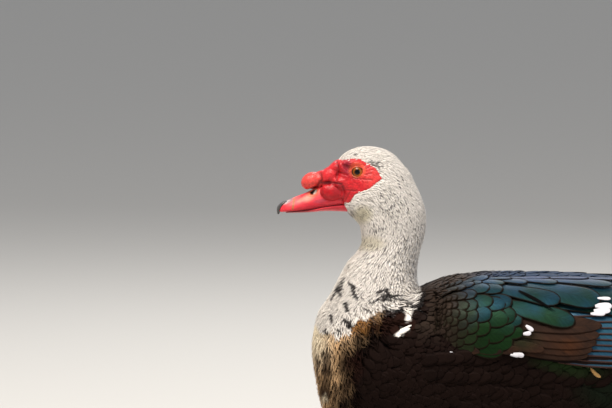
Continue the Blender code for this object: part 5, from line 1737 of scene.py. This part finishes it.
def bill_tint(places):
    """Pink-red horn, mottled yellow, grey and brown."""
    right, down = seen(places)
    paler = clamp((302 - right) / 12) * clamp((206 - down) / 6)
    colour = mix(BILL_PINK, BILL_PALE, paler)
    for shade, share, middle, size, tilt, edge in BILL_PATCHES:
        colour = mix(colour, shade, share * blot(right, down, middle, size, tilt, edge))
    colour = mix(colour, BAND_BROWN, 0.75 * stroke(right, down, *BILL_BAND))
    colour = mix(colour, TIP_TINT, 0.8 * blot(right, down, *TIP_GREY))
    specks = 0.5 + 0.5 * np.sin(right * 3.7 + 2 * np.sin(down * 2.9)) * np.sin(down * 4.1 + right)
    colour = mix(colour, FLECK_PALE, 0.75 * specks * blot(right, down, *TIP_FLECKS))
    stained = 0.95 * clamp(2 * specks - 0.9) * blot(right, down, *MOUTH_FLECKS)
    colour = mix(colour, MOUTH_STAIN, stained)
    colour = mix(colour, RIM_ORANGE, 0.5 * blot(right, down, *NOSTRIL_ORANGE))
    dots = np.maximum(*(blot(right, down, *dot) for dot in YELLOW_DOTS))
    return mix(colour, DOT_YELLOW, 0.8 * dots)


bill_material, tree, shader = blank(
    "pink_bill_horn", Roughness=0.45, Specular_IOR_Level=0.3, Subsurface_Weight=0.08,
    Subsurface_Radius=(1.0, 0.3, 0.2), Subsurface_Scale=0.001
)
# Soft living horn: waxy gloss, blotched by a 4 mm mottle, with hairline growth lines along it.
coords = own_places(tree)
stretch = add(tree, "ShaderNodeMapping", Vector=coords, Scale=(0.35, 1.0, 1.0))
mottle = add(tree, "ShaderNodeTexNoise", Vector=stretch.outputs[0], Scale=420.0, Detail=4.0, Roughness=0.6)
shade = add(
    tree, "ShaderNodeMapRange", Value=mottle.outputs["Fac"], From_Min=0.25, From_Max=0.75, To_Min=0.75,
    To_Max=1.2
)
blotched = add(tree, "ShaderNodeMix", DARKEN, i0=1.0, i6=painted_tint(tree), i7=shade.outputs[0])
tree.links.new(blotched.outputs[2], shader.inputs["Base Color"])
relief(tree, shader, mottle.outputs["Fac"], 0.35, 0.0003)

rings = bill_rings(UPPER_BILL, -0.5, 170, 120)
spot, size, tilt, deep = NOSTRIL
turn = math.radians(tilt)
x, z = rings[..., 0] - spot[0], rings[..., 2] - spot[1]
along, up = x * math.cos(turn) - z * math.sin(turn), x * math.sin(turn) + z * math.cos(turn)
away = np.hypot(along / size[0], up / size[1])
beside = np.abs(rings[..., 1]) > 0.004
pit = clamp((1.0 - away) / 0.35) * beside
lip = np.exp(-(((away - 1.25) / 0.22) ** 2)) * beside
rings[..., 1] -= np.sign(rings[..., 1]) * (pit * deep - lip * 0.0004)
# The pit is painted black as the shadow in the hole, and pale at its rear and low side as painted light seen
# through the open nostril.
hue = mix(bill_tint(rings), PIT_SHADOW_BLACK, pit**0.5)
rear = clamp((0.2730 - rings[..., 0] + 0.6 * (spot[1] - rings[..., 2])) / 0.0010)
hue = mix(hue, PIT_LIGHT_SEEN_THROUGH, 0.9 * pit * rear)
upper = tubes("upper_bill", rings[None], bill_material, values={"Tint": hue[None]})
rings = bill_rings(LOWER_BILL, 0.5, 100, 72)
# Darker towards the tip: painted shade where the lower bill lies under the wider upper one.
overhang_shade = clamp((rings[..., 0] - 0.270) / 0.012) * 0.85
hue = mix(LOWER_RED, LOWER_OVERHANG_SHADE, overhang_shade)
lower = tubes("lower_bill", rings[None], bill_material, values={"Tint": hue[None]})
for piece, node in ((upper, "bill_upper"), (lower, "bill_lower")):
    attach(piece, "root")
    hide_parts(node)

# The nail: a hard dark cap of horn, grown onto the tip of the upper bill and hooked down over it. It
# is an oval loft bent round the tip.

NAIL = [  # x, z, half width, half thickness
    (0.2995, 0.3450, 0.0034, 0.0009), (0.3040, 0.3428, 0.0052, 0.0017), (0.3070, 0.3393, 0.0052, 0.0024),
    (0.3083, 0.3355, 0.0038, 0.0020), (0.3087, 0.3320, 0.0014, 0.0010),
]
nail_table = np.array(NAIL)
row = hermite(np.arange(5.0), nail_table, np.linspace(0, 4, 40))
ahead = unit(np.gradient(row[:, 0:2], axis=0))
turn = full_turn(32)
rings = np.stack(
    [
        row[:, 0:1] + ahead[:, 1:2] * -row[:, 3:4] * np.cos(turn),
        row[:, 2:3] * np.sin(turn),
        row[:, 1:2] + ahead[:, 0:1] * row[:, 3:4] * np.cos(turn),
    ],
    axis=-1,
)
horn_material, tree, shader = blank("dark_nail_and_claw_horn", Roughness=0.35)
# Hard dense keratin: smooth with a satin gloss, and growth ridges about 0.7 mm apart.
coords = own_places(tree)
ridges = add(tree, "ShaderNodeTexNoise", Vector=coords, Scale=700.0, Detail=3.0)
ramp = add(
    tree, "ShaderNodeMix", {"data_type": "RGBA"}, i0=ridges.outputs["Fac"], i6=linear("#1E1C1C"),
    i7=linear("#5C5A58")
)
tree.links.new(ramp.outputs[2], shader.inputs["Base Color"])
relief(tree, shader, ridges.outputs["Fac"], 0.3, 0.0002)
nail = tubes("bill_tip_nail", rings[None], horn_material)
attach(nail, "root")
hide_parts("bill_nail")

# The comb of lamellae: thin dark plates 1.1 mm apart that strain water, rooted in the edge of the
# upper bill and seen along the mouth line.

COMB_PLATES = 44
COMB_HALVES = np.array([0.00040, 0.00034, 0.00012])  # half the width of a plate at root, middle and tip

comb_material, tree, shader = blank("dark_lamella_horn", Roughness=0.5)
# Thin dull horn stained dark red-brown, so the comb shows as a broken line of points 1.1 mm apart.
coords = own_places(tree)
grain = add(tree, "ShaderNodeTexNoise", Vector=coords, Scale=900.0)
ramp = add(
    tree, "ShaderNodeMix", {"data_type": "RGBA"}, i0=grain.outputs["Fac"], i6=linear("#4A1418"),
    i7=linear("#A83038")
)
tree.links.new(ramp.outputs[2], shader.inputs["Base Color"])
mouth = np.array(UPPER_BILL)[:, [2, 3, 4]]
sites = hermite(np.arange(len(mouth), dtype=float), mouth, np.linspace(0.4, 4.9, COMB_PLATES))
square = np.array([(1, 1), (-1, 1), (-1, -1), (1, -1)])
spokes = np.stack([square[:, 0], square[:, 1] * 2.2, np.zeros(4)], axis=1)
teeth = []
for side in (1, -1):
    root = np.stack([sites[:, 0], side * (sites[:, 2] * 0.80), sites[:, 1] + 0.0012], axis=1)
    tip = root + np.array([-0.0002, side * 0.0001, -0.0015])
    line = root[:, None] + (tip - root)[:, None] * np.array([0.0, 0.5, 1.0])[None, :, None]
    teeth.append(line[:, :, None] + COMB_HALVES[None, :, None, None] * spokes)
comb = tubes("mouth_comb", np.concatenate(teeth), comb_material)
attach(comb, "root")

# The legs and feet: bone and tendon in scaly skin, with broad plates down the front of the shank and
# over each toe, small round scales elsewhere, and a leathery web between the three front toes.

SHANK_SHARES = (0.0, 0.08, 0.22, 0.5, 0.8, 0.93)
SHANK_RADII = (0.0078, 0.0088, 0.0068, 0.0062, 0.0066, 0.0074)
FEET = {"left": (0.040, 0.047, 0.0085), "right": (0.016, -0.047, 0.0085)}
TOES = (("inner", 0.052, -28.0, 0.0046), ("middle", 0.070, -3.0, 0.0051), ("outer", 0.063, 22.0, 0.0047))
TOE_SHARES = (0.0, 0.20, 0.38, 0.55, 0.72, 0.88, 1.0)
TOE_SWELLS = (1.25, 0.96, 1.12, 0.88, 1.02, 0.84, 0.62)
WEB_REACH, WEB_NOTCH, WEB_HEIGHT, WEB_THICKNESS = 0.93, 0.80, 0.0015, 0.0013
HIND_TOE, HIND_HEADING = 0.025, 188  # length, and degrees from straight ahead
KNUCKLE = (0.0105, 0.0088, 0.0070)  # half sizes of the lump where the toes meet
PLATE_PITCH = 0.0034  # from one broad scale to the next
FOOT_GRAIN = 0.0007  # the spacing of the foot's mesh
SHANK_SIDE_SHADE, SHANK_OCHRE, SHANK_SEAM = tone("#6E6244"), tone("#8C7A4A"), tone("#2C2824")
FOOT_LOW_SHADE, FOOT_OCHRE, FOOT_SEAM = tone("#4A4438"), tone("#7E6E44"), tone("#2A2622")

leg_material, tree, shader = blank("scaly_leg_skin", Roughness=0.55)
# Dry leathery scales: dull, with dark seams between round scales about 1.8 mm across.
coords = own_places(tree)
scale = add(tree, "ShaderNodeTexVoronoi", {"feature": "DISTANCE_TO_EDGE"}, Vector=coords, Scale=560.0)
seam = add(
    tree, "ShaderNodeMapRange", Value=scale.outputs["Distance"], From_Max=0.12, To_Min=0.45, To_Max=1.0
)
cloud = add(tree, "ShaderNodeTexNoise", Vector=coords, Scale=95.0, Detail=4.0)
patch = add(tree, "ShaderNodeMapRange", Value=cloud.outputs["Fac"], From_Min=0.42, From_Max=0.62)
blotch = add(
    tree, "ShaderNodeMix", {"data_type": "RGBA"}, i0=patch.outputs[0], i6=painted_tint(tree),
    i7=linear("#3C3830")
)
seamed = add(tree, "ShaderNodeMix", DARKEN, i0=1.0, i6=blotch.outputs[2], i7=seam.outputs[0])
tree.links.new(seamed.outputs[2], shader.inputs["Base Color"])
relief(tree, shader, seam.outputs[0], 0.6, 0.0004)


def toe_line(foot, side, length, heading, radius):
    """The middle of a toe from the foot's centre to its end, resting on the floor."""
    turn = math.radians(heading) * side
    share = np.array(TOE_SHARES)
    swell = np.array(TOE_SWELLS)
    line = np.stack(
        [
            foot[0] + math.cos(turn) * length * share,
            foot[1] + math.sin(turn) * length * share,
            radius * np.maximum(swell, 0.80) * 0.86,
        ],
        axis=1,
    )
    fine = np.linspace(0, 1, 60)
    return hermite(share, line, fine), hermite(share, (radius * swell)[:, None], fine)[:, 0]


for name, side in SIDES:
    foot = np.array(FEET[name])
    hock = np.array(HOCKS[name])
    shares = np.linspace(0, 0.93, 110)
    line = hock + (foot - hock) * shares[:, None]
    radii = hermite(SHANK_SHARES, np.array(SHANK_RADII)[:, None], shares)[:, 0]
    rings = limb_rings(line, radii, 48)
    middle = line[:, None]
    spoke = rings - middle
    front = clamp(unit(spoke)[..., 0] * 1.6 - 0.3)
    rising = (np.linalg.norm(foot - hock) * shares / PLATE_PITCH)[:, None]
    rings = middle + spoke * (1 - 0.05 * front * (rising % 1.0) ** 3)[..., None]
    # The sides and back are darker than the front plates: painted shade.
    ochre = mix(SHANK_SIDE_SHADE, SHANK_OCHRE, front * 0.7)
    ochre = mix(ochre, SHANK_SEAM, front * clamp((rising % 1.0) * 4 - 3.2))
    shank = tubes("bare_shank_" + name, rings[None], leg_material, values={"Tint": ochre[None]})
    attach(shank, "root")
    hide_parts("shank_" + name)

    shells, tips = [], []
    for _, length, heading, radius in TOES:
        line, radii = toe_line(foot, side, length, heading, radius)
        tips.append(line[-1])
        shells.append(tubes("toe", limb_rings(line, radii, 24)[None], leg_material))
    turn = math.radians(HIND_HEADING) * side
    end = np.array([foot[0] + math.cos(turn) * HIND_TOE, foot[1] + math.sin(turn) * HIND_TOE, 0.0062])
    start = np.array([foot[0], foot[1], 0.0100])
    line = start + (end - start) * np.linspace(0, 1, 16)[:, None]
    shells.append(tubes("toe", limb_rings(line, np.linspace(0.0037, 0.0027, 16), 20)[None], leg_material))
    knuckle = oval_rings((foot[0] + 0.001, foot[1], 0.0072), KNUCKLE, 0)
    shells.append(tubes("knuckle", knuckle[None], leg_material))
    base = np.array([foot[0], foot[1], 0.0])
    for first, second in ((0, 1), (1, 2)):
        one, two = tips[first] * (1, 1, 0) - base, tips[second] * (1, 1, 0) - base
        sweep = np.linspace(0, 1, 21)[:, None]
        scallop = WEB_REACH - (WEB_REACH - WEB_NOTCH) * np.sin(np.pi * sweep) ** 0.8
        edge = base + (one * (1 - sweep) + two * sweep) * scallop
        rows = base + (edge - base) * np.linspace(0.05, 1, 26)[:, None, None]
        pleat = 0.00022 * np.sin(np.linspace(0, 2 * np.pi * 5, 21))[None, :]
        under, over = rows.copy(), rows[:, ::-1].copy()
        under[..., 2] = WEB_HEIGHT
        over[..., 2] = WEB_HEIGHT + WEB_THICKNESS + np.abs(pleat[:, ::-1])
        shells.append(tubes("web", np.concatenate([under, over], axis=1)[None], leg_material))
    sole = joined("webbed_foot_" + name, shells)
    remeshed(sole, FOOT_GRAIN, 3)
    places = points_of(sole)
    places[:, 2] = np.maximum(places[:, 2], 0.0)
    reach = np.hypot(places[:, 0] - foot[0], places[:, 1] - foot[1])
    top = places[:, 2] > 0.0042
    ridge = ((reach / PLATE_PITCH) % 1.0) ** 4
    places[:, 2] -= np.where(top, 0.00035 * ridge, 0)
    sole.data.vertices.foreach_set("co", places.astype(np.float32).ravel())
    # Darker low down by the floor, lighter on the raised toes: painted shade.
    raised = clamp((places[:, 2] - 0.0030) / 0.004)
    shade = mix(FOOT_LOW_SHADE, FOOT_OCHRE, raised)
    paint(sole, mix(shade, FOOT_SEAM, np.where(top, clamp(ridge * 1.4 - 0.4), 0)))
    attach(sole, "root")
    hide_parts("foot_" + name)

# The claws: four of hard dark horn on each foot, curved and blunt, grown over the last bone of the
# toe. They keep the part's own solids, in the horn of the bill's nail.

for name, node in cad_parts.items():
    if name.startswith("claw_"):
        node.data.materials.clear()
        node.data.materials.append(horn_material)

# The studio: a pale painted floor, soft square lamps above, at the camera's side and behind, and a
# long lens with the photo's angle and framing.

FLOOR_REACH = 60.0
LAMPS = (  # name, place, power, size, colour
    ("key", (0.9, 1.1, 3.4), 190.0, 1.8, "#FFF8EE"),
    ("fill", (-2.0, 2.6, 1.6), 34.0, 2.4, "#EEF3FF"),
    ("behind", (-0.6, -2.6, 2.4), 60.0, 2.0, "#FFFFFF"),
)
LAMP_AIM = (0.05, 0.0, 0.25)
LENS, SENSOR, FRAME_WIDTH, RISE = 500.0, 36.0, 0.612, math.radians(4)
FRAME_MIDDLE = (0.281, 0.342)  # x and z of the middle of the picture

floor_material, tree, shader = blank("matt_pale_floor_paint", Base_Color=linear("#BDBAB5"), Roughness=0.9)
floor = bpy.data.meshes.new("floor")
floor_corners = [(x * FLOOR_REACH, y * FLOOR_REACH, 0) for x, y in ((-1, -1), (1, -1), (1, 1), (-1, 1))]
floor.from_pydata(floor_corners, [], [(0, 1, 2, 3)])
floor.materials.append(floor_material)
floor = bpy.data.objects.new("floor", floor)
bpy.context.scene.collection.objects.link(floor)
floor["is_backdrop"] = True

world = bpy.data.worlds.new("soft_studio")
world.use_nodes = True
world.node_tree.nodes["Background"].inputs["Color"].default_value = linear("#E6E9EE")
world.node_tree.nodes["Background"].inputs["Strength"].default_value = 0.60
bpy.context.scene.world = world
bpy.context.scene.view_settings.view_transform = "Standard"
for name, spot, power, size, colour in LAMPS:
    lamp = bpy.data.lights.new(name, "AREA")
    lamp.energy, lamp.size, lamp.color = power, size, linear(colour)[:3]
    lamp = bpy.data.objects.new(name, lamp)
    bpy.context.scene.collection.objects.link(lamp)
    lamp.location = spot
    aim = np.array(LAMP_AIM) - np.array(spot)
    tip, heading = math.atan2(np.hypot(aim[0], aim[1]), -aim[2]), math.atan2(aim[1], aim[0])
    lamp.rotation_euler = (tip, 0, heading - math.pi / 2)

away = FRAME_WIDTH * LENS / SENSOR
camera = bpy.data.cameras.new("camera")
camera.lens, camera.clip_end = LENS, 200.0
camera = bpy.data.objects.new("camera", camera)
bpy.context.scene.collection.objects.link(camera)
camera.location = (FRAME_MIDDLE[0], away * math.cos(RISE), FRAME_MIDDLE[1] + away * math.sin(RISE))
camera.rotation_euler = (math.pi / 2 - RISE, 0, math.pi)
bpy.context.scene.camera = camera

low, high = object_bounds()
